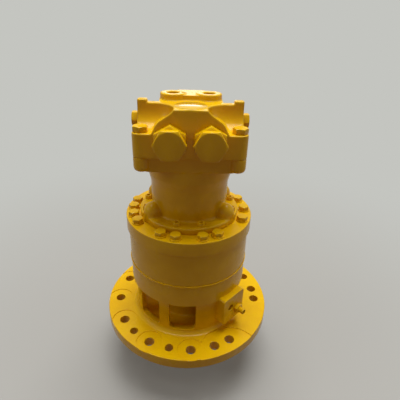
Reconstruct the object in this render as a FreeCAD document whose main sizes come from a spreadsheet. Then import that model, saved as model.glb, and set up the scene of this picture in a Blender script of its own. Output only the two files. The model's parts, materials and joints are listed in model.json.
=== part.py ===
import FreeCAD
import Part

import math
import os

import Sketcher

# A two stage planetary swing gearbox with its hydraulic motor on top.
# The frame has its origin at the centre of the mounting flange's underside, +Z up the shaft,
# and -Y towards the side that carries the two large hex plugs. Lengths are in millimetres.

doc = FreeCAD.newDocument("SwingGearbox")
NODES = {}

# Driving sizes, each set by itself. They go to the document's sheet under these names.

# Mounting flange and pilot
FLANGE_RADIUS = 235
FLANGE_THICKNESS = 30
FLANGE_EDGE = 33
EDGE_BREAK = 1.6
MAIN_HOLE_RADIUS = 13
SMALL_HOLE_RADIUS = 11
SPOT_FACE_RADIUS = 34
SPOT_FACE_DEPTH = 2
PAIR_FACING_RADIUS = 80
PAIR_FACING_OFFSET = 2
PILOT_RADIUS = 150
PILOT_LENGTH = 12

# Lower housing
HOUSING_TOP = 201
SKIRT_STEP = 8
SKIRT_WALL = 14
SKIRT_FILLET = 15
BAND_STEP = 0.5
BAND_HEIGHT = 67
BAND_CHAMFER = 4
HUB_WALL = 12
FLOOR_RISE = 4
ROOF_WALL = 26
NOSE_WALL = 16
NOSE_LENGTH = 45
CUP_SHOULDER = 4
CHAMBER_GAP = 8
NUT_ROOM = 2
WINDOW_SILL = 10
WINDOW_LINTEL = 4
WINDOW_WIDTH = 70
WINDOW_CORNER = 12
WINDOW_PITCH = 38
WINDOW_COUNT = 8
FIRST_WINDOW = -5

# Drain lug and its stub pipe
LUG_AZIMUTH = 45
LUG_DEPTH = 24
LUG_WIDTH = 79
LUG_RISE = 31
LUG_HEIGHT = 81
LUG_CORNER = 6
LUG_HOLE_RADIUS = 9
LUG_HOLE_OFFSET = -12
LUG_HOLE_RISE = 45
PIPE_RADIUS = 8
PIPE_BORE = 5
PIPE_LENGTH = 34
PIPE_OFFSET = 16
PIPE_RISE = 27
PIPE_NUT_FLATS = 24
PIPE_NUT_LENGTH = 9

# Gear case
SEAL_MARGIN = 6
BOLT_INSET = 15
BOLT_MARGIN = 13.5
COVER_OVERHANG = 5.5
COVER_THICKNESS = 36.5
COVER_BORE = 82
COVER_SHELF = 22
COVER_LIP = 1.5
COVER_BOLT_RADIUS = 8
COVER_BOLT_FLATS = 24
COVER_BOLT_HEAD = 10
COVER_BOLT_DEPTH = 26
WASHER_RADIUS = 15
WASHER_THICKNESS = 3
BOLT_CLEARANCE = 0.5
THREAD_GAP = 0.05
THREAD_RUNOUT = 3
GROOVE_GAP = 0.1
SEAL_CORD_RADIUS = 1.5

# Gears and carriers
GEAR_MODULE = 4
PRESSURE_ANGLE = 25
RING_TEETH = 60
SUN_ONE_TEETH = 12
SUN_TWO_TEETH = 18
BACKLASH = 0.16
PLANET_RISE = 3
PLANET_TWO_WIDTH = 42
PLANET_ONE_WIDTH = 24
RING_MARGIN = 1.5
FACE_GAP = 2
RUNNING_GAP = 0.04
PRESS_GAP = 0.02
PLANET_TWO_PIN = 15
PLANET_ONE_PIN = 14
CARRIER_CLEARANCE = 4
CARRIER_TWO_PLATE = 26
CARRIER_TWO_TOP = 7
CARRIER_ONE_PLATE = 10
SUN_TWO_BORE = 12
SUN_ONE_SLEEVE = 26
SUN_ONE_SLEEVE_LENGTH = 26

# Output shaft and its bearings
PINION_MODULE = 10
PINION_TEETH = 14
PINION_GAP = 15
PINION_WIDTH = 85
PINION_BEVEL = 3
UPPER_JOURNAL = 40
JOURNAL_STEP = 5
UPPER_SECTION = 30
LOWER_SECTION = 35
LOWER_BEARING_WIDTH = 42
UPPER_BEARING_WIDTH = 36
NECK_STEP = 12
MID_STEP = 1
NUT_STEP = 1.5
NUT_WALL = 15.5
NUT_HEIGHT = 10
NUT_SLOT = 10
SEAL_WIDTH = 13
SEAL_RIM_HEIGHT = 4
SEAL_LIP_HEIGHT = 8
SEAL_LIP_THICKNESS = 5
SPLINE_STEP = 2.5
SPLINE_TEETH = 24
SPLINE_GAP = 0.05
BEARING_TRIM = 3
ROLLER_COUNT = 18
TAPER_ANGLE = 13
ROLLER_HALF_ANGLE = 2

# Motor casing
SCREW_INSET = 31.5
SCREW_MARGIN = 13.5
MOTOR_FLANGE_THICKNESS = 16
MOTOR_SPIGOT = 8
SPIGOT_CLEARANCE = 0.05
NECK_WALL = 23.5
FLARE_DROP = 92
FLARE_RISE = 24
FLARE_WIDTH = 6
FLARE_FILLET = 40
NECK_FILLET = 6
WAIST_HEIGHT = 36.5
WAIST_SIDE_INSET = 18
WAIST_FRONT_INSET = 13
WAIST_CLEARANCE = 0.5
BLOCK_HALF_WIDTH = 124
BLOCK_HALF_DEPTH = 118
BLOCK_CORNER = 18
COLUMN_SIZE = 36
COLUMN_HEIGHT = 33.5
COLUMN_ROUND = 10
BOSS_RADIUS = 24
BOSS_INSET = 40
BOSS_AZIMUTH = 57.5
BOSS_HEIGHT = 24.5
SHAFT_BORE = 32
MOUNT_SCREW_RADIUS = 5
MOUNT_SCREW_HEAD = 8.5
MOUNT_SCREW_HEAD_HEIGHT = 10
MOUNT_SCREW_LENGTH = 30
MOUNT_SCREW_COUNT = 8
MOUNT_SCREW_SPREAD = 15

# Valve casing
BASE_HEIGHT = 54
UPPER_HEIGHT = 51
UPPER_SIDE_INSET = 8
UPPER_REAR_INSET = 6
SPINE_HALF_WIDTH = 36
SADDLE_FRONT = 56
SADDLE_REAR = 50
RIDGE_BACK = 36
SHOULDER_DROP = 20
SHOULDER_GAP = 1.5
SCOOP_CORNER = 44
SCOOP_ROUND = 42
EAR_WIDTH = 21
EAR_RISE = 7
PLUG_SPACING = 84
PLUG_RISE = 38.5
PLUG_BOSS_RADIUS = 42
PLUG_COLLAR_FLATS = 66
PLUG_FLATS = 62
PLUG_COLLAR_LENGTH = 16
HEXAGON_BEVEL = 0.485
PLUG_REACH = 34
PLUG_THREAD_RADIUS = 20
PLUG_THREAD_LENGTH = 22
CHECK_BORE_RADIUS = 17
CHECK_BORE_DEPTH = 66
DISC_RADIUS = 35
DISC_SETBACK = 38
DISC_HEIGHT = 2
PORT_SPACING = 82
PORT_BORE_RADIUS = 13.5
PORT_DEPTH = 34
PORT_BOSS_RADIUS = 29.5
PORT_PAD_RISE = 14
PORT_SETBACK = 4
PORT_WEB_WIDTH = 40
PORT_WEB_DROP = 3
GAUGE_HOLE_RADIUS = 4
GAUGE_HOLE_OFFSET = -17
GAUGE_HOLE_DEPTH = 16
RELIEF_FLATS = 31
RELIEF_SPOT_RADIUS = 19
RELIEF_RISE = 10
RELIEF_SETBACK = 30
RELIEF_HEAD_LENGTH = 16
RELIEF_THREAD_RADIUS = 12
RELIEF_BORE_DEPTH = 46
CORNER_BOLT_SIDE_INSET = 18
CORNER_BOLT_FRONT_INSET = 21
CORNER_BOLT_RADIUS = 10
CORNER_BOLT_FLATS = 30
CORNER_BOLT_HEAD = 12.5
CORNER_BOLT_DEPTH = 25
CORNER_SPOT_RADIUS = 19

# Motor internals
MOTOR_SHAFT_RADIUS = 20
SHAFT_END_RADIUS = 14
BLOCK_SPLINE_RADIUS = 18
SHAFT_REACH = 30
SHAFT_TAIL = 19
SHAFT_TAIL_GAP = 3
SHAFT_BEARING_RADIUS = 45
SHAFT_BEARING_WIDTH = 20
BEARING_SETBACK = 20
SWASH_STEP = 6
SEAL_RIM = 6
SEAL_RIM_WIDTH = 5
SHAFT_COLLAR = 4
SHAFT_COLLAR_WIDTH = 8
END_BEARING_RADIUS = 20
END_BEARING_WIDTH = 15
END_JOURNAL_RADIUS = 13
SHAFT_SEAL_WIDTH = 9
BEARING_RING_WALL = 7
BALL_COUNT = 12
SWASH_ANGLE = 15
SWASH_MARGIN = 30
SWASH_CLEARANCE = 2
SWASH_THICKNESS = 24
SWASH_BORE = 27
SHOE_RADIUS = 12
SHOE_THICKNESS = 4
SHOE_CUP_RADIUS = 9
SHOE_CUP_RISE = 2
BALL_RADIUS = 6
BALL_HEIGHT = 11
BALL_NECK_RADIUS = 4.8
BALL_NECK = 9
PISTON_RADIUS = 9
PISTON_ROOM = 21.5
PISTON_CIRCLE = 42
PISTON_COUNT = 9
RETAINER_MARGIN = 4
RETAINER_THICKNESS = 3
RETAINER_GAP = 0.2
RETAINER_PLAY = 0.4
BLOCK_WALL = 9
BLOCK_LIFT = 30
BLOCK_LENGTH = 77.5
BLOCK_HEAD = 9
KIDNEY_HALF_WIDTH = 5
VALVE_PLATE_MARGIN = 14
VALVE_PLATE_THICKNESS = 7
PLATE_GAP = 0.5
BRAKE_DEPTH = 67
BRAKE_BORE_MARGIN = 24
BRAKE_DISC_COUNT = 2
BRAKE_DISC_THICKNESS = 3
BRAKE_PLATE_THICKNESS = 4
BRAKE_RING_GAP = 3
BRAKE_GAP = 0.3
BRAKE_PISTON_HEIGHT = 22
BRAKE_SPRING_COUNT = 4
BRAKE_SPRING_SETBACK = 1
BRAKE_SPRING_THICKNESS = 2.5
POPPET_RADIUS = 15
POPPET_HEAD = 6
POPPET_STEM_RADIUS = 8
POPPET_GUIDE_DEPTH = 16
POPPET_OVERLAP = 8
RELIEF_POPPET_RADIUS = 9
RELIEF_POPPET_HEAD = 4
RELIEF_STEM_RADIUS = 4
RELIEF_GUIDE_DEPTH = 14
RELIEF_OVERLAP = 6
RELIEF_THREAD_LENGTH = 22
SEAT_GAP = 0.3
SPRING_GAP = 0.2
SPRING_WIRE = 1.2
SPRING_TURNS = 4
SLIDE_GAP = 0.03

DRIVING = [(name.lower(), value) for name, value in list(globals().items())
           if name.isupper() and isinstance(value, (int, float))]

# Sizes and places that follow from the driving ones, as the sheet's formulas.
FOLLOWING = (
    ("bolt_circle_radius", "flange_radius - flange_edge"),
    ("pair_facing_reach", "flange_radius + pair_facing_offset"),
    ("planet_one_teeth", "(ring_teeth - sun_one_teeth) / 2"),
    ("planet_two_teeth", "(ring_teeth - sun_two_teeth) / 2"),
    ("ring_root", "gear_module * (ring_teeth / 2 + 1.25)"),
    ("seal_ring_radius", "ring_root + seal_margin"),
    ("cover_bolt_circle", "seal_ring_radius + bolt_inset"),
    ("ring_radius", "cover_bolt_circle + bolt_margin"),
    ("cover_radius", "ring_radius + cover_overhang"),
    ("band_radius", "ring_radius - band_step"),
    ("skirt_radius", "band_radius - skirt_step"),
    ("carrier_radius", "gear_module * (ring_teeth / 2 - 1) - carrier_clearance"),
    ("chamber_radius", "carrier_radius + chamber_gap"),
    ("planet_two_bottom", "housing_top + planet_rise"),
    ("planet_two_top", "planet_two_bottom + planet_two_width"),
    ("carrier_two_bottom", "planet_two_bottom - face_gap - carrier_two_plate"),
    ("carrier_two_high", "planet_two_top + face_gap + carrier_two_top"),
    ("carrier_one_bottom", "carrier_two_high + face_gap"),
    ("carrier_one_high", "carrier_one_bottom + carrier_one_plate"),
    ("planet_one_bottom", "carrier_one_high + face_gap / 2"),
    ("ring_top", "planet_one_bottom + planet_one_width + ring_margin"),
    ("ring_height", "ring_top - housing_top"),
    ("cover_top", "ring_top + cover_thickness"),
    ("band_bottom", "housing_top - band_height"),
    ("chamber_floor", "carrier_two_bottom - nut_height - nut_room"),
    ("cavity_roof", "chamber_floor - roof_wall"),
    ("cavity_floor", "flange_thickness + floor_rise"),
    ("window_bottom", "cavity_floor + window_sill"),
    ("window_top", "band_bottom - window_lintel"),
    ("lug_reach", "skirt_radius + lug_depth"),
    ("lug_bottom", "flange_thickness + lug_rise"),
    ("lug_top", "lug_bottom + lug_height"),
    ("lug_hole_height", "lug_bottom + lug_hole_rise"),
    ("pipe_height", "lug_bottom + pipe_rise"),
    ("lower_journal", "upper_journal + journal_step"),
    ("upper_cup_radius", "upper_journal + upper_section"),
    ("lower_cup_radius", "lower_journal + lower_section"),
    ("seal_pocket_radius", "lower_cup_radius + cup_shoulder"),
    ("hub_radius", "lower_cup_radius + hub_wall"),
    ("hub_bore", "upper_cup_radius - cup_shoulder"),
    ("nose_radius", "seal_pocket_radius + nose_wall"),
    ("neck_radius", "lower_journal + neck_step"),
    ("mid_radius", "lower_journal - mid_step"),
    ("nut_thread", "upper_journal - nut_step"),
    ("nut_radius", "nut_thread + nut_wall"),
    ("spline_radius", "nut_thread - spline_step"),
    ("upper_cup_top", "chamber_floor - bearing_trim"),
    ("upper_bearing_bottom", "upper_cup_top - upper_bearing_width"),
    ("lower_cup_bottom", "seal_width - nose_length"),
    ("lower_cup_top", "lower_cup_bottom + lower_bearing_width"),
    ("pinion_top", "-nose_length - pinion_gap"),
    ("mount_screw_circle", "cover_bolt_circle - screw_inset"),
    ("motor_flange_radius", "mount_screw_circle + screw_margin"),
    ("boss_reach", "cover_bolt_circle - boss_inset"),
    ("swash_radius", "piston_circle + swash_margin"),
    ("swash_room", "swash_radius + swash_clearance"),
    ("block_radius", "piston_circle + piston_radius + block_wall"),
    ("retainer_radius", "piston_circle + shoe_radius + retainer_margin"),
    ("valve_plate_radius", "piston_circle + valve_plate_margin"),
    ("casing_bore", "block_radius + brake_bore_margin"),
    ("brake_disc_radius", "casing_bore - brake_ring_gap"),
    ("brake_plate_bore", "block_radius + brake_ring_gap"),
    ("neck_outer_radius", "swash_room + neck_wall"),
    ("flare_radius", "neck_outer_radius + flare_width"),
    ("bearing_low", "cover_top + bearing_setback"),
    ("bearing_high", "bearing_low + shaft_bearing_width"),
    ("casing_floor", "bearing_high + swash_step"),
    ("swash_centre", "casing_floor + swash_thickness"),
    ("block_bottom", "swash_centre + block_lift"),
    ("block_top", "block_bottom + block_length"),
    ("piston_length", "block_length - piston_room"),
    ("valve_plate_bottom", "block_top + plate_gap"),
    ("joint_height", "valve_plate_bottom + valve_plate_thickness"),
    ("brake_bottom", "joint_height - brake_depth"),
    ("flare_bottom", "joint_height - flare_drop"),
    ("flare_top", "flare_bottom + flare_rise"),
    ("waist_bottom", "joint_height - waist_height"),
    ("waist_half_width", "block_half_width - waist_side_inset"),
    ("waist_half_depth", "block_half_depth - waist_front_inset"),
    ("column_bottom", "joint_height - column_height"),
    ("motor_shaft_bottom", "cover_top - shaft_reach"),
    ("motor_shaft_top", "joint_height + shaft_tail"),
    ("ledge_height", "joint_height + base_height"),
    ("valve_top", "ledge_height + upper_height"),
    ("upper_half_width", "block_half_width - upper_side_inset"),
    ("upper_half_depth", "block_half_depth - upper_rear_inset"),
    ("shoulder_start", "port_spacing / 2 + port_boss_radius + shoulder_gap"),
    ("plug_height", "joint_height + plug_rise"),
    ("port_pad_top", "valve_top + port_pad_rise"),
    ("relief_height", "ledge_height + relief_rise"),
    ("corner_bolt_x", "block_half_width - corner_bolt_side_inset"),
    ("corner_bolt_y", "block_half_depth - corner_bolt_front_inset"),
)

# Azimuths count from -Y towards +X.
MAIN_HOLES = (-111, -86, -60, -29, 3, 154, 180, -154)
SMALL_HOLES = (-45, -13, 135, -132)
PAIR_HOLES = (21, 34)
PLAIN_HOLES = (85.5, 97.5, 115)
PAIR_CENTRE = 28.5
COVER_BOLTS = (-105, -90, -75, -60, -27, -12, 13, 28, 68, 90, 112, 153, 168, -168, -153)


class Bound(float):
    """A number that remembers the sheet expression that it came from."""

    def __new__(cls, value, text):
        made = float.__new__(cls, value)
        made.text = text
        return made

    def __add__(self, other):
        return Bound(float(self) + other, f"({self.text} + {text_of(other)})")

    def __radd__(self, other):
        return Bound(other + float(self), f"({text_of(other)} + {self.text})")

    def __sub__(self, other):
        return Bound(float(self) - other, f"({self.text} - {text_of(other)})")

    def __rsub__(self, other):
        return Bound(other - float(self), f"({text_of(other)} - {self.text})")

    def __mul__(self, other):
        return Bound(float(self) * other, f"({self.text} * {text_of(other)})")

    def __rmul__(self, other):
        return Bound(other * float(self), f"({text_of(other)} * {self.text})")

    def __truediv__(self, other):
        return Bound(float(self) / other, f"({self.text} / {text_of(other)})")

    def __neg__(self):
        return Bound(-float(self), f"(0 - {self.text})")


def text_of(number):
    return number.text if isinstance(number, Bound) else f"{float(number):.9f}"


class Sizes:
    """The driving dimensions, read back from the sheet by their names."""

    def __init__(self, document):
        self.sheet = document.addObject("Spreadsheet::Sheet", "Sizes")
        cells = [(name, str(value)) for name, value in DRIVING]
        cells += [(name, "=" + formula) for name, formula in FOLLOWING]
        for row, (name, content) in enumerate(cells, 1):
            self.sheet.set(f"A{row}", name)
            self.sheet.set(f"B{row}", content)
            self.sheet.setAlias(f"B{row}", name)
        document.recompute()

    def __getattr__(self, name):
        return Bound(float(self.sheet.get(name)), f"Sizes.{name}")


S = Sizes(doc)


def bind(thing, name, number):
    """Set one property, and tie it to the sheet where the number came from there."""
    if isinstance(number, Bound):
        thing.setExpression(name, number.text)
    else:
        holder, dot, last = name.rpartition(".")
        if not dot:
            setattr(thing, name, number)
        else:
            base = thing.Placement.Base
            setattr(base, last, number)
            thing.Placement = FreeCAD.Placement(base, thing.Placement.Rotation)


def put(thing, x=0, y=0, z=0, turn=None):
    """Place an object, with each coordinate tied to the sheet."""
    if turn is not None:
        thing.Placement = FreeCAD.Placement(FreeCAD.Vector(), turn)
    for axis, number in (("x", x), ("y", y), ("z", z)):
        bind(thing, "Placement.Base." + axis, number)
    return thing


def around(radius, azimuth):
    """X and Y of a point at this radius and azimuth."""
    angle = math.radians(float(azimuth))
    return radius * math.sin(angle), -radius * math.cos(angle)


def beside(azimuth, reach, offset):
    """X and Y of a point at this reach along an azimuth and this offset to the right of it."""
    angle = math.radians(float(azimuth))
    return (
        reach * math.sin(angle) + offset * math.cos(angle),
        offset * math.sin(angle) - reach * math.cos(angle),
    )


def about_z(azimuth):
    return FreeCAD.Rotation(FreeCAD.Vector(0, 0, 1), float(azimuth))


def facing_in(azimuth):
    """Turns +Z into the direction that points from this azimuth towards the axis."""
    return about_z(azimuth).multiply(FreeCAD.Rotation(FreeCAD.Vector(1, 0, 0), -90))


def facing_out(azimuth):
    return about_z(azimuth).multiply(FreeCAD.Rotation(FreeCAD.Vector(1, 0, 0), 90))


ALONG_Y = FreeCAD.Rotation(FreeCAD.Vector(1, 0, 0), 90)
ALONG_X = FreeCAD.Rotation(FreeCAD.Vector(0, 1, 0), 90)


def keep(node, thing):
    """Name an object as one of the assembly's pieces."""
    thing.Label = node
    NODES[node] = thing
    return thing


def cylinder(name, radius, height, x=0, y=0, z=0, turn=None):
    made = doc.addObject("Part::Cylinder", name)
    bind(made, "Radius", radius)
    bind(made, "Height", height)
    return put(made, x, y, z, turn)


def box(name, length, width, height, x=0, y=0, z=0):
    made = doc.addObject("Part::Box", name)
    bind(made, "Length", length)
    bind(made, "Width", width)
    bind(made, "Height", height)
    return put(made, x, y, z)


def cone(name, low, high, height, x=0, y=0, z=0, turn=None):
    made = doc.addObject("Part::Cone", name)
    bind(made, "Radius1", low)
    bind(made, "Radius2", high)
    bind(made, "Height", height)
    return put(made, x, y, z, turn)


def hexagon(name, flats, height, x=0, y=0, z=0, turn=None):
    made = doc.addObject("Part::Prism", name)
    made.Polygon = 6
    bind(made, "Circumradius", flats / math.sqrt(3))
    bind(made, "Height", height)
    return put(made, x, y, z, turn)


def fuse(name, *pieces):
    made = doc.addObject("Part::MultiFuse", name)
    made.Shapes = list(pieces)
    return made


def cut(name, base, *tools):
    made = doc.addObject("Part::Cut", name)
    made.Base = base
    made.Tool = tools[0] if len(tools) == 1 else fuse(name + "_tools", *tools)
    return made


def common(name, first, second):
    made = doc.addObject("Part::MultiCommon", name)
    made.Shapes = [first, second]
    return made


def group(name, pieces):
    made = doc.addObject("Part::Compound", name)
    made.Links = list(pieces)
    return made


def solid(name, shape):
    """A piece whose shape is worked out here from the sheet's values."""
    made = doc.addObject("Part::Feature", name)
    made.Shape = shape
    return made


def plane_of(body, role):
    return [part for part in body.Origin.OriginFeatures if part.Role == role][0]


def arc_between(start, end, radius):
    """The shorter arc from start to end, turning left where its radius is positive."""
    chord = end - start
    rise = math.sqrt(max(radius * radius - chord.Length ** 2 / 4, 0))
    left = FreeCAD.Vector(-chord.y, chord.x, 0).normalize()
    centre = start + chord * 0.5 + left * math.copysign(rise, radius)
    first, last = (start, end) if radius > 0 else (end, start)
    angles = [math.atan2(point.y - centre.y, point.x - centre.x) for point in (first, last)]
    return Part.ArcOfCircle(Part.Circle(centre, FreeCAD.Vector(0, 0, 1), abs(radius)), *angles)


def draw(sketch, outline):
    """Draw a closed outline, each corner tied to the sheet.

    A corner is (x, y), or (x, y, radius) where the run to the next corner is an arc.
    """
    first = sketch.GeometryCount
    count = len(outline)
    corners = [FreeCAD.Vector(float(item[0]), float(item[1]), 0) for item in outline]
    ends = []
    for index, item in enumerate(outline):
        start, end = corners[index], corners[(index + 1) % count]
        bend = item[2] if len(item) > 2 else 0
        if bend:
            sketch.addGeometry(arc_between(start, end, float(bend)), False)
            limit = sketch.addConstraint(
                Sketcher.Constraint("Radius", first + index, abs(float(bend))))
            size = -bend if float(bend) < 0 else bend
            if isinstance(size, Bound):
                sketch.setExpression(f"Constraints[{limit}]", size.text)
        else:
            sketch.addGeometry(Part.LineSegment(start, end), False)
        ends.append((2, 1) if float(bend) < 0 else (1, 2))
    for index in range(count):
        following = (index + 1) % count
        sketch.addConstraint(Sketcher.Constraint(
            "Coincident", first + index, ends[index][1], first + following, ends[following][0]))
    for index, item in enumerate(outline):
        point = ends[index][0]
        for kind, axis, number in (("DistanceX", -2, item[0]), ("DistanceY", -1, item[1])):
            if float(number) == 0:
                sketch.addConstraint(
                    Sketcher.Constraint("PointOnObject", first + index, point, axis))
                continue
            made = sketch.addConstraint(
                Sketcher.Constraint(kind, -1, 1, first + index, point, float(number)))
            if isinstance(number, Bound):
                sketch.setExpression(f"Constraints[{made}]", number.text)


def rounded(low_x, low_y, high_x, high_y, radius):
    """A rectangle with its four corners rounded."""
    return (
        (low_x + radius, low_y), (high_x - radius, low_y, radius),
        (high_x, low_y + radius), (high_x, high_y - radius, radius),
        (high_x - radius, high_y), (low_x + radius, high_y, radius),
        (low_x, high_y - radius), (low_x, low_y + radius, radius),
    )


def turned(name, *outlines):
    """A piece turned about Z from closed outlines of radius and height."""
    body = doc.addObject("PartDesign::Body", name)
    sketch = body.newObject("Sketcher::SketchObject", name + "_section")
    sketch.AttachmentSupport = [(plane_of(body, "XZ_Plane"), "")]
    sketch.MapMode = "FlatFace"
    for outline in outlines:
        draw(sketch, outline)
    turn = body.newObject("PartDesign::Revolution", name + "_turn")
    turn.Profile = sketch
    turn.ReferenceAxis = (sketch, ["V_Axis"])
    turn.Angle = 360
    doc.recompute()
    return body


def side_feature(body, kind, name, outline, azimuth, reach, length):
    """Pad or pocket an outline outwards from a plane that faces this azimuth at this reach."""
    sketch = body.newObject("Sketcher::SketchObject", name + "_outline")
    sketch.AttachmentSupport = [(plane_of(body, "XZ_Plane"), "")]
    sketch.MapMode = "FlatFace"
    spin = FreeCAD.Rotation(FreeCAD.Vector(0, 1, 0), float(azimuth))
    sketch.AttachmentOffset = FreeCAD.Placement(FreeCAD.Vector(), spin)
    away = spin.multVec(FreeCAD.Vector(0, 0, 1))
    for axis, share in (("x", away.x), ("z", away.z)):
        sketch.setExpression("AttachmentOffset.Base." + axis, (reach * share).text)
    draw(sketch, outline)
    made = body.newObject("PartDesign::" + kind, name)
    made.Profile = sketch
    made.Reversed = kind == "Pocket"
    bind(made, "Length", length)
    body.Tip = made
    doc.recompute()
    return made


def level_pad(name, outline, low, high):
    """A piece padded upwards from a level outline."""
    body = doc.addObject("PartDesign::Body", name)
    sketch = body.newObject("Sketcher::SketchObject", name + "_outline")
    sketch.AttachmentSupport = [(plane_of(body, "XY_Plane"), "")]
    sketch.MapMode = "FlatFace"
    sketch.setExpression("AttachmentOffset.Base.z", low.text)
    draw(sketch, outline)
    pad = body.newObject("PartDesign::Pad", name + "_pad")
    pad.Profile = sketch
    bind(pad, "Length", high - low)
    doc.recompute()
    return body


def ring(name, inner, outer, low, high):
    return turned(name, ((inner, low), (outer, low), (outer, high), (inner, high)))


def round_edges(shape, radius, height):
    """Names of the circular edges of a shape at this radius and height about Z."""
    found = []
    for index, edge in enumerate(shape.Edges, 1):
        curve = edge.Curve
        if not isinstance(curve, Part.Circle) or abs(curve.Axis.z) < 0.99:
            continue
        centre = curve.Center
        level = abs(centre.z - height) < 0.01 and math.hypot(centre.x, centre.y) < 0.01
        if level and abs(curve.Radius - radius) < 0.01:
            found.append(f"Edge{index}")
    return found


def soften(body, kind, size, *places):
    """Fillet or chamfer the circles of a turned piece at these radii and heights."""
    tip = body.Tip
    names = [name for radius, height in places for name in round_edges(tip.Shape, radius, height)]
    made = body.newObject("PartDesign::" + kind, f"{body.Name}_{kind.lower()}_{len(body.Group)}")
    made.Base = (tip, names)
    bind(made, "Radius" if kind == "Fillet" else "Size", size)
    body.Tip = made
    doc.recompute()
    return body


def involute(angle):
    return math.tan(angle) - angle


def gear_wire(teeth, module, tip, root, widen, turn=0):
    """The closed outline of a spur gear with involute flanks, each drawn as one arc.

    widen is added to each tooth flank at the pitch circle, so a negative value is backlash.
    turn is the direction of one tooth's middle, in degrees from +X.
    """
    pressure = math.radians(float(S.pressure_angle))
    pitch = module * teeth / 2
    base = pitch * math.cos(pressure)
    foot = max(root, base)

    def half_angle(radius):
        grown = math.acos(min(1, base / radius))
        return math.pi / (2 * teeth) + involute(pressure) - involute(grown) + widen / pitch

    def at(radius, angle):
        return FreeCAD.Vector(radius * math.cos(angle), radius * math.sin(angle), 0)

    edges = []
    step = 2 * math.pi / teeth
    middle = (foot + tip) / 2
    for index in range(teeth):
        centre = math.radians(turn) + index * step
        low, mid, high = half_angle(foot), half_angle(middle), half_angle(tip)
        edges.append(Part.Arc(
            at(foot, centre - low), at(middle, centre - mid), at(tip, centre - high)))
        edges.append(Part.Arc(at(tip, centre - high), at(tip, centre), at(tip, centre + high)))
        edges.append(Part.Arc(
            at(tip, centre + high), at(middle, centre + mid), at(foot, centre + low)))
        following = centre + step
        if foot > root:
            edges.append(Part.LineSegment(at(foot, centre + low), at(root, centre + low)))
        edges.append(Part.Arc(
            at(root, centre + low), at(root, centre + step / 2), at(root, following - low)))
        if foot > root:
            edges.append(Part.LineSegment(at(root, following - low), at(foot, following - low)))
    return Part.Wire([edge.toShape() for edge in edges])


def spur(teeth, module, bottom, width, bore, turn=0, x=0.0, y=0.0):
    """A spur gear blank with full depth teeth, its bore cut."""
    pitch = module * teeth / 2
    wire = gear_wire(teeth, module, pitch + module, pitch - 1.25 * module,
                     -float(S.backlash) / 2, turn)
    gear = Part.Face(wire).extrude(FreeCAD.Vector(0, 0, width))
    if bore:
        gear = gear.cut(Part.makeCylinder(bore, width))
    gear.translate(FreeCAD.Vector(x, y, bottom))
    return gear


def spring(wire_radius, coil_radius, length, turns):
    """A coil along +Z made of half turns, each a half torus tilted to climb half the pitch.

    The first and last half turns lie flat, as a ground spring's do.
    """
    climb = (length - 2 * wire_radius) / (2 * turns)
    halves = []
    height = wire_radius
    for index in range(2 * turns + 2):
        rise = 0 if index in (0, 2 * turns + 1) else climb
        tilt = math.degrees(math.atan2(rise / 2, coil_radius))
        turn = FreeCAD.Rotation(FreeCAD.Vector(0, 1, 0), -tilt if index % 2 else tilt)
        if index % 2:
            turn = turn.multiply(about_z(180))
        half = Part.makeTorus(math.hypot(coil_radius, rise / 2), wire_radius,
                              FreeCAD.Vector(), FreeCAD.Vector(0, 0, 1), -180, 180, 180)
        half.Placement = FreeCAD.Placement(FreeCAD.Vector(0, 0, height + rise / 2), turn)
        halves.append(half)
        height += rise
    return halves[0].fuse(halves[1:])


# How far a cutting tool runs past the face that it cuts.
OVER = 1


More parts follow.
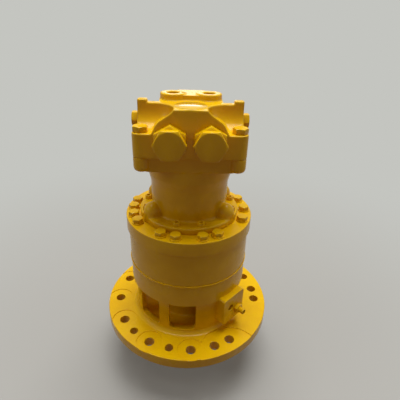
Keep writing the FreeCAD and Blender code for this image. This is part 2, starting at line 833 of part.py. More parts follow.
def lower_housing():
    """The cast base: flange, windowed skirt, band, bearing hub and drain lug."""
    skirt_inside = S.skirt_radius - S.skirt_wall
    body = turned(
        "housing_casting",
        (
            (S.seal_pocket_radius, -S.nose_length),
            (S.nose_radius, -S.nose_length),
            (S.nose_radius, -S.pilot_length),
            (S.pilot_radius, -S.pilot_length),
            (S.pilot_radius, 0),
            (S.flange_radius, 0),
            (S.flange_radius, S.flange_thickness),
            (S.skirt_radius, S.flange_thickness),
            (S.skirt_radius, S.band_bottom - S.band_chamfer),
            (S.band_radius, S.band_bottom),
            (S.band_radius, S.housing_top),
            (S.chamber_radius, S.housing_top),
            (S.chamber_radius, S.chamber_floor),
            (S.upper_cup_radius, S.chamber_floor),
            (S.upper_cup_radius, S.upper_bearing_bottom),
            (S.hub_bore, S.upper_bearing_bottom),
            (S.hub_bore, S.lower_cup_top),
            (S.lower_cup_radius, S.lower_cup_top),
            (S.lower_cup_radius, S.lower_cup_bottom),
            (S.seal_pocket_radius, S.lower_cup_bottom),
        ),
        (
            (S.hub_radius, S.cavity_floor),
            (skirt_inside, S.cavity_floor),
            (skirt_inside, S.cavity_roof),
            (S.hub_radius, S.cavity_roof),
        ),
    )
    soften(body, "Fillet", S.skirt_fillet, (S.skirt_radius, S.flange_thickness))
    soften(body, "Fillet", S.skirt_wall / 2,
           (skirt_inside, S.cavity_floor), (S.hub_radius, S.cavity_floor))
    soften(body, "Chamfer", S.edge_break,
           (S.flange_radius, S.flange_thickness), (S.flange_radius, 0),
           (S.pilot_radius, -S.pilot_length), (S.nose_radius, -S.nose_length))
    soften(body, "Chamfer", S.edge_break / 2, (S.band_radius, S.housing_top))

    half = S.window_width / 2
    corner = S.window_corner
    pocket = side_feature(body, "Pocket", "window", (
        (-half + corner, S.window_bottom), (half - corner, S.window_bottom, corner),
        (half, S.window_bottom + corner), (half, S.window_top),
        (-half, S.window_top), (-half, S.window_bottom + corner, corner),
    ), S.first_window, (S.hub_radius + skirt_inside) / 2, S.skirt_radius)
    pattern = body.newObject("PartDesign::PolarPattern", "window_pattern")
    pattern.Originals = [pocket]
    pattern.Axis = (plane_of(body, "Z_Axis"), [""])
    pattern.Reversed = True
    bind(pattern, "Occurrences", int(S.window_count))
    bind(pattern, "Angle", S.window_pitch * (float(S.window_count) - 1))
    body.Tip = pattern
    doc.recompute()
    half = S.lug_width / 2
    root = S.skirt_radius - S.skirt_wall / 2
    side_feature(body, "Pad", "lug",
                 rounded(-half, S.lug_bottom, half, S.lug_top, S.lug_corner),
                 S.lug_azimuth, root, S.lug_reach - root)

    tools = []
    for azimuths, radius in (
        (MAIN_HOLES + PAIR_HOLES + PLAIN_HOLES, S.main_hole_radius),
        (SMALL_HOLES, S.small_hole_radius),
    ):
        for azimuth in azimuths:
            x, y = around(S.bolt_circle_radius, azimuth)
            tools.append(cylinder("flange_hole", radius, S.flange_thickness + 2 * OVER, x, y, -OVER))
    face = S.flange_thickness - S.spot_face_depth
    for azimuth in MAIN_HOLES:
        x, y = around(S.bolt_circle_radius, azimuth)
        tools.append(cylinder("spot_face", S.spot_face_radius, S.spot_face_depth + OVER, x, y, face))
    x, y = around(S.pair_facing_reach, PAIR_CENTRE)
    tools.append(cylinder("pair_facing", S.pair_facing_radius, S.spot_face_depth + OVER, x, y, face))
    for azimuth in COVER_BOLTS:
        x, y = around(S.cover_bolt_circle, azimuth)
        tools.append(cylinder("tapped_hole", S.cover_bolt_radius + S.thread_gap,
                              S.cover_bolt_depth + S.thread_runout + OVER, x, y,
                              S.housing_top - S.cover_bolt_depth - S.thread_runout))
    tools.append(ring("lower_seal_groove", S.seal_ring_radius - S.seal_cord_radius - S.groove_gap,
                      S.seal_ring_radius + S.seal_cord_radius + S.groove_gap,
                      S.housing_top - 2 * S.seal_cord_radius - S.groove_gap,
                      S.housing_top + OVER))
    for radius, offset, height in (
        (S.lug_hole_radius, S.lug_hole_offset, S.lug_hole_height),
        (S.pipe_radius + S.thread_gap, S.pipe_offset, S.pipe_height),
    ):
        x, y = beside(S.lug_azimuth, S.lug_reach + OVER, offset)
        tools.append(cylinder("lug_hole", radius, S.lug_depth + OVER, x, y, height,
                              facing_in(S.lug_azimuth)))
    return keep("lower_housing", cut("housing_machined", body, *tools))


def cover_bolt_holes(low, high):
    holes = []
    for azimuth in COVER_BOLTS:
        x, y = around(S.cover_bolt_circle, azimuth)
        holes.append(cylinder("bolt_hole", S.cover_bolt_radius + S.bolt_clearance,
                              high - low + 2 * OVER, x, y, low - OVER))
    return holes


def ring_gear():
    """The case's middle ring, with the fixed internal teeth of both stages."""
    teeth = int(S.ring_teeth)
    module = float(S.gear_module)
    pitch = module * teeth / 2
    space = gear_wire(teeth, module, pitch + 1.25 * module, pitch - module,
                      float(S.backlash) / 2)
    height = float(S.ring_height)
    teeth_space = Part.Face(space).extrude(FreeCAD.Vector(0, 0, height))
    blank = Part.makeCylinder(float(S.ring_radius), height)
    rims = [edge for edge in blank.Edges if len(edge.Vertexes) == 1]
    blank = blank.makeChamfer(float(S.edge_break) / 2, rims)
    toothed = solid("toothed_ring", blank.cut(teeth_space))
    put(toothed, 0, 0, S.housing_top)
    tools = cover_bolt_holes(S.housing_top, S.ring_top)
    return keep("ring_gear", cut("ring_drilled", toothed, *tools))


def top_cover():
    """The lid over the gears that carries the motor."""
    spigot = S.cover_top - S.motor_spigot - S.face_gap / 4
    throat = S.cover_bore - S.cover_shelf
    body = turned("cover_turned", (
        (throat, S.ring_top), (S.cover_radius, S.ring_top), (S.cover_radius, S.cover_top),
        (S.cover_bore, S.cover_top), (S.cover_bore, spigot), (throat, spigot),
    ))
    soften(body, "Chamfer", S.cover_lip, (S.cover_radius, S.cover_top), (S.cover_radius, S.ring_top))
    tools = cover_bolt_holes(S.ring_top, S.cover_top)
    tools.append(ring("upper_seal_groove", S.seal_ring_radius - S.seal_cord_radius - S.groove_gap,
                      S.seal_ring_radius + S.seal_cord_radius + S.groove_gap,
                      S.ring_top - OVER, S.ring_top + 2 * S.seal_cord_radius + S.groove_gap))
    tools += mount_screw_holes(S.mount_screw_radius + S.thread_gap,
                               S.cover_top + S.motor_flange_thickness
                               - S.mount_screw_length - S.thread_runout,
                               S.cover_top + OVER)
    return keep("top_cover", cut("cover_drilled", body, *tools))


def mount_azimuths():
    count = int(S.mount_screw_count)
    half = float(S.mount_screw_spread)
    return [(index // 2) * 720 / count + (half if index % 2 else -half)
            for index in range(count)]


def mount_screw_holes(radius, low, high):
    holes = []
    for azimuth in mount_azimuths():
        x, y = around(S.mount_screw_circle, azimuth)
        holes.append(cylinder("mount_hole", radius, high - low, x, y, low))
    return holes


def case_fasteners():
    """Cover bolts, washers and the two face seals."""
    bolts, washers = [], []
    seat = S.cover_top + S.washer_thickness
    for azimuth in COVER_BOLTS:
        x, y = around(S.cover_bolt_circle, azimuth)
        head = hexagon("bolt_head", S.cover_bolt_flats, S.cover_bolt_head, x, y, seat,
                       about_z(azimuth))
        low = S.housing_top - S.cover_bolt_depth
        shank = cylinder("bolt_shank", S.cover_bolt_radius, seat - low + OVER, x, y, low)
        bolts.append(fuse("cover_bolt", head, shank))
        plate = cylinder("washer_plate", S.washer_radius, S.washer_thickness, x, y, S.cover_top)
        hole = cylinder("washer_hole", S.cover_bolt_radius + S.bolt_clearance,
                        S.washer_thickness + 2 * OVER, x, y, S.cover_top - OVER)
        washers.append(cut("cover_washer", plate, hole))
    keep("cover_bolts", group("cover_bolt_set", bolts))
    keep("cover_washers", group("cover_washer_set", washers))

    seals = []
    for height in (S.housing_top - S.seal_cord_radius, S.ring_top + S.seal_cord_radius):
        cord = doc.addObject("Part::Torus", "seal_ring")
        bind(cord, "Radius1", S.seal_ring_radius)
        bind(cord, "Radius2", S.seal_cord_radius)
        seals.append(put(cord, 0, 0, height))
    keep("case_seal_rings", group("seal_set", seals))


def drain_pipe():
    """A stub pipe with a hexagon, screwed into the lug's face."""
    turn = facing_out(S.lug_azimuth)
    inner = S.lug_reach - S.lug_depth + OVER
    x, y = beside(S.lug_azimuth, inner, S.pipe_offset)
    tube = cylinder("pipe_tube", S.pipe_radius, S.pipe_length + S.lug_depth - OVER,
                    x, y, S.pipe_height, turn)
    far_x, far_y = beside(S.lug_azimuth, S.lug_reach, S.pipe_offset)
    nut = hexagon("pipe_nut", S.pipe_nut_flats, S.pipe_nut_length, far_x, far_y,
                  S.pipe_height, turn)
    low_x, low_y = beside(S.lug_azimuth, inner - OVER, S.pipe_offset)
    bore = cylinder("pipe_bore", S.pipe_bore, S.pipe_length + S.lug_depth + 2 * OVER,
                    low_x, low_y, S.pipe_height, turn)
    return keep("drain_pipe", cut("drain_stub", fuse("pipe_outside", tube, nut), bore))


def taper_bearing(name, journal, cup_radius, low, width, flip):
    """A taper roller bearing: cone, cup and the rollers in their cage.

    All its taper lines meet at one point on the axis, above the bearing unless it is flipped.
    """
    middle = float(journal + cup_radius) / 2
    taper = math.radians(float(S.taper_angle))
    half = math.radians(float(S.roller_half_angle))
    apex = middle / math.tan(taper)
    face = float(width) / 2
    gap = float(S.running_gap)
    count = int(S.roller_count)

    def radius_at(angle, height):
        return (apex - height) * math.tan(angle)

    cone_angle, cup_angle = taper - half, taper + half
    trim = float(S.bearing_trim)
    cone_line = [(radius_at(cone_angle, level) - gap, level) for level in (-face, face - trim)]
    cup_line = [(radius_at(cup_angle, level) + gap, level) for level in (-face + trim, face)]

    def spun(points):
        corners = [FreeCAD.Vector(radius, 0, height) for radius, height in points]
        wire = Part.makePolygon(corners + corners[:1])
        return Part.Face(wire).revolve(FreeCAD.Vector(), FreeCAD.Vector(0, 0, 1), 360)

    inner = spun([(float(journal), -face), *cone_line, (float(journal), face - trim)])
    outer = spun([*cup_line, (float(cup_radius), face), (float(cup_radius), -face + trim)])

    length = float(width) - 4 * trim
    from_apex = apex / math.cos(taper)
    ends = [(from_apex + step) * math.tan(half) for step in (length / 2, -length / 2)]
    roller = Part.makeCone(ends[0], ends[1], length)
    roller.translate(FreeCAD.Vector(0, 0, -length / 2))
    roller.rotate(FreeCAD.Vector(), FreeCAD.Vector(0, 1, 0), -math.degrees(taper))
    roller.translate(FreeCAD.Vector(middle, 0, 0))
    rollers = []
    for index in range(count):
        turned_roller = roller.copy()
        turned_roller.rotate(FreeCAD.Vector(), FreeCAD.Vector(0, 0, 1), index * 360 / count)
        rollers.append(turned_roller)
    set_of_rollers = Part.makeCompound(rollers)

    place = FreeCAD.Placement(FreeCAD.Vector(), FreeCAD.Rotation(
        FreeCAD.Vector(1, 0, 0), 180 if flip else 0))
    for part, shape in (("cone", inner), ("cup", outer), ("rollers", set_of_rollers)):
        shape.Placement = place
        held = solid(f"{name}_{part}_made", shape)
        held.Placement = place
        keep(f"{name}_{part}", put_at_height(held, low + width / 2))


def put_at_height(thing, height):
    bind(thing, "Placement.Base.z", height)
    return thing


def spline_wire(grow):
    """The outline shared by the output shaft's spline and the carrier that slides on it."""
    teeth, module = int(S.spline_teeth), float(S.spline_radius) * 2 / float(S.spline_teeth)
    depth = module / 2
    gap = float(S.spline_gap)
    return gear_wire(teeth, module, float(S.spline_radius) + depth + grow,
                     float(S.spline_radius) - depth + grow - 4 * gap, grow - gap)


def pinion_shaft():
    """The output shaft with its pinion, journals, thread and spline."""
    pinion_low = S.pinion_top - S.pinion_width
    pitch = S.pinion_module * S.pinion_teeth / 2
    root = float(pitch) - 1.25 * float(S.pinion_module)
    outline = (
        (0, pinion_low + OVER), (root - OVER, pinion_low + OVER),
        (root - OVER, S.pinion_top - OVER),
        (S.neck_radius, S.pinion_top - OVER), (S.neck_radius, S.lower_cup_bottom),
        (S.lower_journal, S.lower_cup_bottom), (S.lower_journal, S.lower_cup_top - S.bearing_trim),
        (S.mid_radius, S.lower_cup_top - S.bearing_trim),
        (S.mid_radius, S.upper_bearing_bottom + S.bearing_trim),
        (S.upper_journal, S.upper_bearing_bottom + S.bearing_trim), (S.upper_journal, S.upper_cup_top),
        (S.nut_thread, S.upper_cup_top), (S.nut_thread, S.upper_cup_top + S.nut_height),
        (0, S.upper_cup_top + S.nut_height),
    )
    body = turned("shaft_turned", outline)
    teeth = spur(int(S.pinion_teeth), float(S.pinion_module), 0.0, float(S.pinion_width), 0)
    envelope = Part.makeCylinder(float(pitch + S.pinion_module), float(S.pinion_width))
    rims = [edge for edge in envelope.Edges if len(edge.Vertexes) == 1]
    teeth = teeth.common(envelope.makeChamfer(float(S.pinion_bevel), rims))
    gear = solid("pinion_teeth", teeth)
    put(gear, 0, 0, pinion_low)
    spline_low = S.upper_cup_top + S.nut_height
    length = S.carrier_two_bottom + S.carrier_two_plate - spline_low - S.face_gap
    spline = solid("shaft_spline", Part.Face(spline_wire(0)).extrude(
        FreeCAD.Vector(0, 0, float(length) + OVER)))
    put(spline, 0, 0, spline_low - OVER)
    return keep("pinion_shaft", fuse("shaft_whole", body, gear, spline))


def shaft_fittings():
    """The slotted nut and the oil seal."""
    nut = ring("nut_ring", S.nut_thread + S.thread_gap, S.nut_radius,
               S.upper_cup_top, S.upper_cup_top + S.nut_height)
    slots = []
    for azimuth in range(0, 360, 90):
        x, y = beside(azimuth, S.nut_radius - S.nut_slot / 2, S.nut_slot / 2)
        slot = box("nut_slot", S.nut_slot, S.nut_slot, S.nut_height + 2 * OVER)
        slots.append(put(slot, x, y, S.upper_cup_top - OVER, about_z(azimuth + 180)))
    keep("shaft_nut", cut("nut_slotted", nut, *slots))
    lip = S.neck_radius + S.running_gap
    low = OVER - S.nose_length
    rim = S.seal_pocket_radius - S.seal_rim_height
    keep("output_seal", turned("seal_ring_turned", (
        (lip, low + S.seal_rim_height), (lip + S.seal_rim_height - OVER, low),
        (S.seal_pocket_radius, low), (S.seal_pocket_radius, S.lower_cup_bottom - OVER),
        (rim, S.lower_cup_bottom - OVER), (rim, low + S.seal_rim_height),
        (lip + S.seal_lip_thickness, low + S.seal_rim_height), (lip, low + S.seal_lip_height),
    )))


def planet_places(stage):
    """Pitch radius and directions, in degrees from +X, of a stage's three planets."""
    if stage == 1:
        reach = S.gear_module * (S.sun_one_teeth + S.planet_one_teeth) / 2
        return reach, (90, 210, 330)
    reach = S.gear_module * (S.sun_two_teeth + S.planet_two_teeth) / 2
    return reach, (30, 150, 270)


def polar(radius, degrees):
    angle = math.radians(degrees)
    return radius * math.cos(angle), radius * math.sin(angle)


def carrier_two():
    """The second carrier: two plates joined by three bridges between its planets."""
    reach, places = planet_places(2)
    blank = ring("carrier_blank", S.spline_radius - S.bearing_trim, S.carrier_radius,
                 S.carrier_two_bottom, S.carrier_two_high)
    spline = solid("carrier_spline", Part.Face(spline_wire(float(S.spline_gap))).extrude(
        FreeCAD.Vector(0, 0, float(S.carrier_two_plate) + 2 * OVER)))
    put(spline, 0, 0, S.carrier_two_bottom - OVER)
    planet_tip = S.gear_module * (S.planet_two_teeth + 2) / 2
    sun_tip = S.gear_module * (S.sun_two_teeth + 2) / 2
    plate_top = S.carrier_two_bottom + S.carrier_two_plate
    tools = [spline, cylinder("sun_room", sun_tip + S.face_gap,
                              S.carrier_two_high - plate_top + OVER, 0, 0, plate_top)]
    pins = []
    for place in places:
        x, y = polar(reach, place)
        tools.append(cylinder("planet_room", planet_tip + S.face_gap,
                              S.planet_two_width + 2 * S.face_gap, x, y, plate_top))
        tools.append(cylinder("pin_hole", S.planet_two_pin + S.press_gap,
                              S.carrier_two_high - S.carrier_two_bottom + 2 * OVER,
                              x, y, S.carrier_two_bottom - OVER))
        pins.append(cylinder("planet_pin", S.planet_two_pin,
                             S.carrier_two_high - S.carrier_two_bottom, x, y, S.carrier_two_bottom))
    keep("carrier_2", cut("carrier_two_cut", blank, *tools))
    keep("planet_2_pins", group("pin_two_set", pins))


def sun_two_wire(widen):
    teeth, module = int(S.sun_two_teeth), float(S.gear_module)
    pitch = module * teeth / 2
    grow = widen + float(S.backlash) / 2
    return gear_wire(teeth, module, pitch + module + grow, pitch - 1.25 * module + grow,
                     widen, planet_places(2)[1][0])


def carrier_one():
    """The first carrier: a plate whose bore is splined onto the second sun's own teeth."""
    reach, places = planet_places(1)
    plate = cylinder("carrier_plate", S.carrier_radius, S.carrier_one_plate,
                     0, 0, S.carrier_one_bottom)
    socket = solid("sun_socket", Part.Face(sun_two_wire(0)).extrude(
        FreeCAD.Vector(0, 0, float(S.carrier_one_plate) + 2 * OVER)))
    put(socket, 0, 0, S.carrier_one_bottom - OVER)
    tools = [socket]
    pins = []
    pin_top = S.planet_one_bottom + S.planet_one_width
    for place in places:
        x, y = polar(reach, place)
        tools.append(cylinder("pin_hole", S.planet_one_pin + S.press_gap,
                              S.carrier_one_plate + 2 * OVER, x, y, S.carrier_one_bottom - OVER))
        tools.append(cylinder("light_hole", S.planet_one_pin, S.carrier_one_plate + 2 * OVER,
                              *polar(reach, place + 60), S.carrier_one_bottom - OVER))
        pins.append(cylinder("planet_pin", S.planet_one_pin, pin_top - S.carrier_one_bottom,
                             x, y, S.carrier_one_bottom))
    keep("carrier_1", cut("carrier_one_cut", plate, *tools))
    keep("planet_1_pins", group("pin_one_set", pins))
    sun = Part.Face(sun_two_wire(-float(S.backlash) / 2)).extrude(
        FreeCAD.Vector(0, 0, float(S.carrier_one_high - S.planet_two_bottom)))
    sun = sun.cut(Part.makeCylinder(float(S.sun_two_bore), float(S.ring_top)))
    keep("sun_gear_2", put(solid("sun_two_made", sun), 0, 0, S.planet_two_bottom))


def planets():
    module = float(S.gear_module)
    for stage, teeth, pin, width, bottom in (
        (1, S.planet_one_teeth, S.planet_one_pin, S.planet_one_width, S.planet_one_bottom),
        (2, S.planet_two_teeth, S.planet_two_pin, S.planet_two_width, S.planet_two_bottom),
    ):
        reach, places = planet_places(stage)
        for letter, place in zip("abc", places):
            bore = float(pin + S.running_gap)
            gear = spur(int(teeth), module, 0, float(width), bore, place)
            held = solid(f"planet_{stage}_{letter}_made", gear)
            keep(f"planet_gear_{stage}{letter}", put(held, *polar(reach, place), bottom))


def sun_one():
    """The first sun with the sleeve that takes the motor shaft's spline."""
    teeth, module = int(S.sun_one_teeth), float(S.gear_module)
    bottom = S.planet_one_bottom - S.face_gap / 4
    tooth = planet_places(1)[1][0] + 180 / teeth
    gear = solid("sun_one_teeth", spur(teeth, module, 0, float(S.ring_top - bottom), 0, tooth))
    put(gear, 0, 0, bottom)
    sleeve = cylinder("sun_one_sleeve", S.sun_one_sleeve, S.sun_one_sleeve_length,
                      0, 0, S.ring_top - OVER)
    bore = cylinder("sun_one_bore", S.shaft_end_radius + S.press_gap,
                    S.ring_top + S.sun_one_sleeve_length - S.motor_shaft_bottom,
                    0, 0, S.motor_shaft_bottom)
    return keep("sun_gear_1", cut("sun_one_bored", fuse("sun_one_whole", gear, sleeve), bore))


def motor_casing():
    """The motor's lower body: flange with four domed bosses, neck, flare, waist and columns."""
    under = S.cover_top
    seat = under + S.motor_flange_thickness
    spigot_low = under - S.motor_spigot
    body = turned("motor_neck", (
        (0, spigot_low), (S.cover_bore - S.spigot_clearance, spigot_low),
        (S.cover_bore - S.spigot_clearance, under), (S.motor_flange_radius, under),
        (S.motor_flange_radius, seat), (S.neck_outer_radius, seat),
        (S.neck_outer_radius, S.flare_bottom), (S.flare_radius, S.flare_top),
        (S.flare_radius, S.waist_bottom + 2 * OVER), (0, S.waist_bottom + 2 * OVER),
    ))
    soften(body, "Fillet", S.flare_fillet, (S.neck_outer_radius, S.flare_bottom))
    soften(body, "Fillet", S.neck_fillet, (S.neck_outer_radius, seat))
    soften(body, "Fillet", S.neck_fillet / 2, (S.motor_flange_radius, seat))
    waist = level_pad("motor_waist", rounded(
        -S.waist_half_width, -S.waist_half_depth, S.waist_half_width, S.waist_half_depth,
        S.block_corner), S.waist_bottom, S.joint_height)
    pieces = [body, waist]
    for side_x in (-1, 1):
        for side_y in (-1, 1):
            pieces.append(corner_column(side_x, side_y))
            azimuth = 90 * side_x + (90 - float(S.boss_azimuth)) * side_x * side_y
            x, y = around(S.boss_reach, azimuth)
            pieces.append(cylinder("boss_post", S.boss_radius, S.boss_height, x, y, under))
            dome = doc.addObject("Part::Sphere", "boss_dome")
            bind(dome, "Radius", S.boss_radius)
            pieces.append(put(dome, x, y, under + S.boss_height))
    outside = fuse("motor_outside", *pieces)
    inside = turned("motor_inside", (
        (0, spigot_low - OVER), (S.shaft_bore, spigot_low - OVER),
        (S.shaft_bore, S.bearing_low - S.seal_rim),
        (S.shaft_bore - S.seal_rim_width, S.bearing_low - S.seal_rim),
        (S.shaft_bore - S.seal_rim_width, S.bearing_low), (S.shaft_bearing_radius, S.bearing_low),
        (S.shaft_bearing_radius, S.casing_floor), (S.swash_room, S.casing_floor),
        (S.swash_room, S.brake_bottom), (S.casing_bore, S.brake_bottom),
        (S.casing_bore, S.joint_height + OVER), (0, S.joint_height + OVER),
    ))
    tools = [inside]
    tools += mount_screw_holes(S.mount_screw_radius + S.bolt_clearance, under - OVER, seat + OVER)
    tools += corner_bolt_holes(S.corner_bolt_radius + S.thread_gap,
                               S.joint_height - S.corner_bolt_depth - S.thread_runout,
                               S.joint_height + OVER)
    return keep("motor_casing", cut("motor_bored", outside, *tools))


def corner_column(side_x, side_y):
    """One rounded post at a corner of the motor block, its foot rounded over."""
    radius = S.column_size / 2
    x = side_x * (S.block_half_width - radius)
    y = side_y * (S.block_half_depth - radius)
    body = turned("column", (
        (0, S.column_bottom), (radius - S.column_round, S.column_bottom, S.column_round),
        (radius, S.column_bottom + S.column_round), (radius, S.joint_height),
        (0, S.joint_height),
    ))
    return put(body, x, y, 0)


def corner_bolt_holes(radius, low, high):
    holes = []
    for side_x in (-1, 1):
        for side_y in (-1, 1):
            holes.append(cylinder("corner_hole", radius, high - low,
                                  side_x * S.corner_bolt_x, side_y * S.corner_bolt_y, low))
    return holes


def scoop(side_x, side_y):
    """The hollow round one corner bolt: two walls that meet in a bend and run out to a floor."""
    reach = S.block_half_width
    bowl = level_pad("scoop", (
        (S.scoop_corner, 0), (reach, 0), (reach, reach), (0, reach), (0, S.scoop_corner,
                                                                     S.scoop_corner),
    ), S.ledge_height, S.valve_top + OVER)
    foot = float(S.ledge_height)
    block = bowl.Tip
    names = []
    for index, edge in enumerate(block.Shape.Edges, 1):
        points = [vertex.Point for vertex in edge.Vertexes]
        level = all(abs(point.z - foot) < 0.01 for point in points)
        if level and max(min(point.x, point.y) for point in points) < 0.01:
            names.append(f"Edge{index}")
    bend = bowl.newObject("PartDesign::Fillet", "scoop_bend")
    bend.Base = (block, names)
    bind(bend, "Radius", S.scoop_round)
    bowl.Tip = bend
    doc.recompute()
    quarter = {(1, 1): 0, (-1, 1): 90, (-1, -1): 180, (1, -1): 270}[(side_x, side_y)]
    wall = S.saddle_rear if side_y > 0 else S.saddle_front
    return put(bowl, side_x * S.spine_half_width, side_y * wall, 0, about_z(quarter))


def plug_places():
    return ((-S.plug_spacing / 2, "left"), (S.plug_spacing / 2, "right"))


def valve_casing():
    """The upper casing: ledge, scooped top, plug bosses, port bosses and raised disc."""
    face = -S.block_half_depth
    base = level_pad("valve_base", rounded(
        -S.block_half_width, -S.block_half_depth, S.block_half_width, S.block_half_depth,
        S.block_corner), S.joint_height, S.ledge_height)
    upper = box("valve_upper", 2 * S.upper_half_width, S.block_half_depth + S.upper_half_depth,
                S.valve_top - S.ledge_height + OVER,
                -S.upper_half_width, face, S.ledge_height - OVER)
    bowls = [scoop(side_x, side_y) for side_x in (-1, 1) for side_y in (-1, 1)]
    pieces = [base]
    for side in (-1, 1):
        x = S.shoulder_start if side > 0 else -S.block_half_width
        bowls.append(box("shoulder", S.block_half_width - S.shoulder_start,
                         S.ridge_back + S.block_half_depth, S.shoulder_drop + 2 * OVER,
                         x, -S.ridge_back, S.valve_top - S.shoulder_drop))
        x = S.upper_half_width - S.ear_width if side > 0 else -S.upper_half_width
        pieces.append(box("corner_ear", S.ear_width, S.saddle_front - S.ridge_back,
                          S.ear_rise + OVER, x, -S.saddle_front, S.valve_top - OVER))
    pieces.append(cut("valve_scooped", upper, *bowls))
    for x, side in plug_places():
        pieces.append(cylinder("plug_boss", S.plug_boss_radius, S.block_half_depth,
                               x, 0, S.plug_height, ALONG_Y))
        boss = cylinder("port_boss", S.port_boss_radius, S.port_pad_top - S.valve_top + OVER,
                        x / S.plug_spacing * S.port_spacing, -S.port_setback, S.valve_top - OVER)
        pieces.append(boss)
    pieces.append(box("port_web", S.port_spacing, S.port_web_width,
                      S.port_pad_top - S.valve_top - S.port_web_drop + OVER,
                      -S.port_spacing / 2, -S.port_setback - S.port_web_width / 2,
                      S.valve_top - OVER))
    pieces.append(cylinder("raised_disc", S.disc_radius, S.disc_height + OVER,
                           0, S.disc_setback - S.block_half_depth, S.valve_top - OVER))
    outside = fuse("valve_outside", *pieces)

    room = S.waist_half_depth + S.waist_clearance
    tools = [box("waist_room", 2 * S.block_half_width, 2 * room, S.plug_boss_radius,
                 -S.block_half_width, -room, S.joint_height - S.plug_boss_radius)]
    tools += corner_bolt_holes(S.corner_bolt_radius + S.bolt_clearance,
                               S.joint_height - OVER, S.ledge_height + OVER)
    tools += corner_bolt_holes(S.corner_spot_radius, S.ledge_height, S.valve_top)
    for x, side in plug_places():
        tools.append(cylinder("check_bore", S.check_bore_radius, S.check_bore_depth + OVER,
                              x, face + S.check_bore_depth, S.plug_height, ALONG_Y))
        tools.append(cylinder("plug_thread", S.plug_thread_radius + S.thread_gap,
                              S.plug_thread_length + 2 * OVER, x,
                              face + S.plug_thread_length + OVER, S.plug_height, ALONG_Y))
        tools.append(cylinder("port_bore", S.port_bore_radius, S.port_depth + OVER,
                              x / S.plug_spacing * S.port_spacing, -S.port_setback,
                              S.port_pad_top - S.port_depth))
    tools.append(cylinder("gauge_hole", S.gauge_hole_radius,
                          S.gauge_hole_depth + S.port_web_drop + OVER,
                          S.gauge_hole_offset, -S.port_setback,
                          S.port_pad_top - S.port_web_drop - S.gauge_hole_depth))
    for side in (-1, 1):
        low = -S.upper_half_width - OVER if side < 0 else S.upper_half_width - S.relief_bore_depth
        tools.append(cylinder("relief_bore", S.relief_thread_radius + S.thread_gap,
                              S.relief_bore_depth + OVER, low, -S.relief_setback,
                              S.relief_height, ALONG_X))
        low = S.upper_half_width if side > 0 else -S.block_half_width - OVER
        tools.append(cylinder("relief_spot", S.relief_spot_radius,
                              S.block_half_width - S.upper_half_width + OVER, low,
                              -S.relief_setback, S.relief_height, ALONG_X))
    tools.append(cylinder("end_bearing_seat", S.end_bearing_radius,
                          S.shaft_tail + S.shaft_tail_gap + OVER, 0, 0,
                          S.joint_height - OVER))
    return keep("valve_casing", cut("valve_bored", outside, *tools))


def corner_bolts():
    bolts = []
    for side_x in (-1, 1):
        for side_y in (-1, 1):
            x, y = side_x * S.corner_bolt_x, side_y * S.corner_bolt_y
            low = S.joint_height - S.corner_bolt_depth
            head = hexagon("corner_head", S.corner_bolt_flats, S.corner_bolt_head,
                           x, y, S.ledge_height)
            shank = cylinder("corner_shank", S.corner_bolt_radius,
                             S.ledge_height - low + OVER, x, y, low)
            bolts.append(fuse("corner_bolt", head, shank))
    return keep("corner_bolts", group("corner_bolt_set", bolts))


def mount_screws():
    seat = S.cover_top + S.motor_flange_thickness
    screws = []
    for azimuth in mount_azimuths():
        x, y = around(S.mount_screw_circle, azimuth)
        head = cylinder("screw_head", S.mount_screw_head, S.mount_screw_head_height, x, y, seat)
        shank = cylinder("screw_shank", S.mount_screw_radius, S.mount_screw_length + OVER,
                         x, y, seat - S.mount_screw_length)
        socket = hexagon("screw_socket", S.mount_screw_head, S.mount_screw_head_height / 2 + OVER,
                         x, y, seat + S.mount_screw_head_height / 2)
        screws.append(cut("mount_screw", fuse("screw_solid", head, shank), socket))
    return keep("mount_screws", group("mount_screw_set", screws))


def chamfered_hexagon(name, flats, length, x, y, z, turn):
    """A bolt-like hexagon whose outer end is turned to a cone."""
    blank = hexagon(name + "_blank", flats, length, x, y, z, turn)
    end = flats * S.hexagon_bevel
    turning = cone(name + "_turning", end + length * math.sqrt(3), end, length, x, y, z, turn)
    return common(name, blank, turning)


def check_valves():
    """The two large plugs with the make-up check poppets and springs behind them."""
    face = -S.block_half_depth
    seat = face + S.check_bore_depth
    vertex_up = ALONG_Y.multiply(about_z(30))
    for x, side in plug_places():
        z = S.plug_height
        collar = chamfered_hexagon("plug_collar", S.plug_collar_flats, S.plug_collar_length,
                                   x, face, z, vertex_up)
        head = chamfered_hexagon("plug_head", S.plug_flats, S.plug_reach - S.plug_collar_length,
                                 x, face - S.plug_collar_length, z, ALONG_Y)
        thread = cylinder("plug_shank", S.plug_thread_radius, S.plug_thread_length + OVER,
                          x, face + S.plug_thread_length, z, ALONG_Y)
        guide = cylinder("plug_guide", S.poppet_stem_radius + S.slide_gap,
                         S.poppet_guide_depth + OVER,
                         x, face + S.plug_thread_length + OVER, z, ALONG_Y)
        keep(f"check_plug_{side}", cut("plug_drilled", fuse("plug_solid", collar, head, thread),
                                       guide))
        start = seat - S.seat_gap
        reach = S.check_bore_depth - S.plug_thread_length - S.seat_gap + S.poppet_overlap
        poppet = fuse("poppet_solid",
                      cylinder("poppet_disc", S.poppet_radius, S.poppet_head, x, start, z, ALONG_Y),
                      cylinder("poppet_stem", S.poppet_stem_radius, reach, x, start, z, ALONG_Y))
        keep(f"check_poppet_{side}", poppet)
        room = (S.check_bore_depth - S.plug_thread_length - S.seat_gap - S.poppet_head)
        coil = solid("check_coil", spring(
            float(S.spring_wire), float(S.poppet_stem_radius + S.poppet_radius) / 2,
            float(room - 2 * S.spring_gap), int(S.spring_turns)))
        keep(f"check_spring_{side}",
             put(coil, x, start - S.poppet_head - S.spring_gap, z, ALONG_Y))


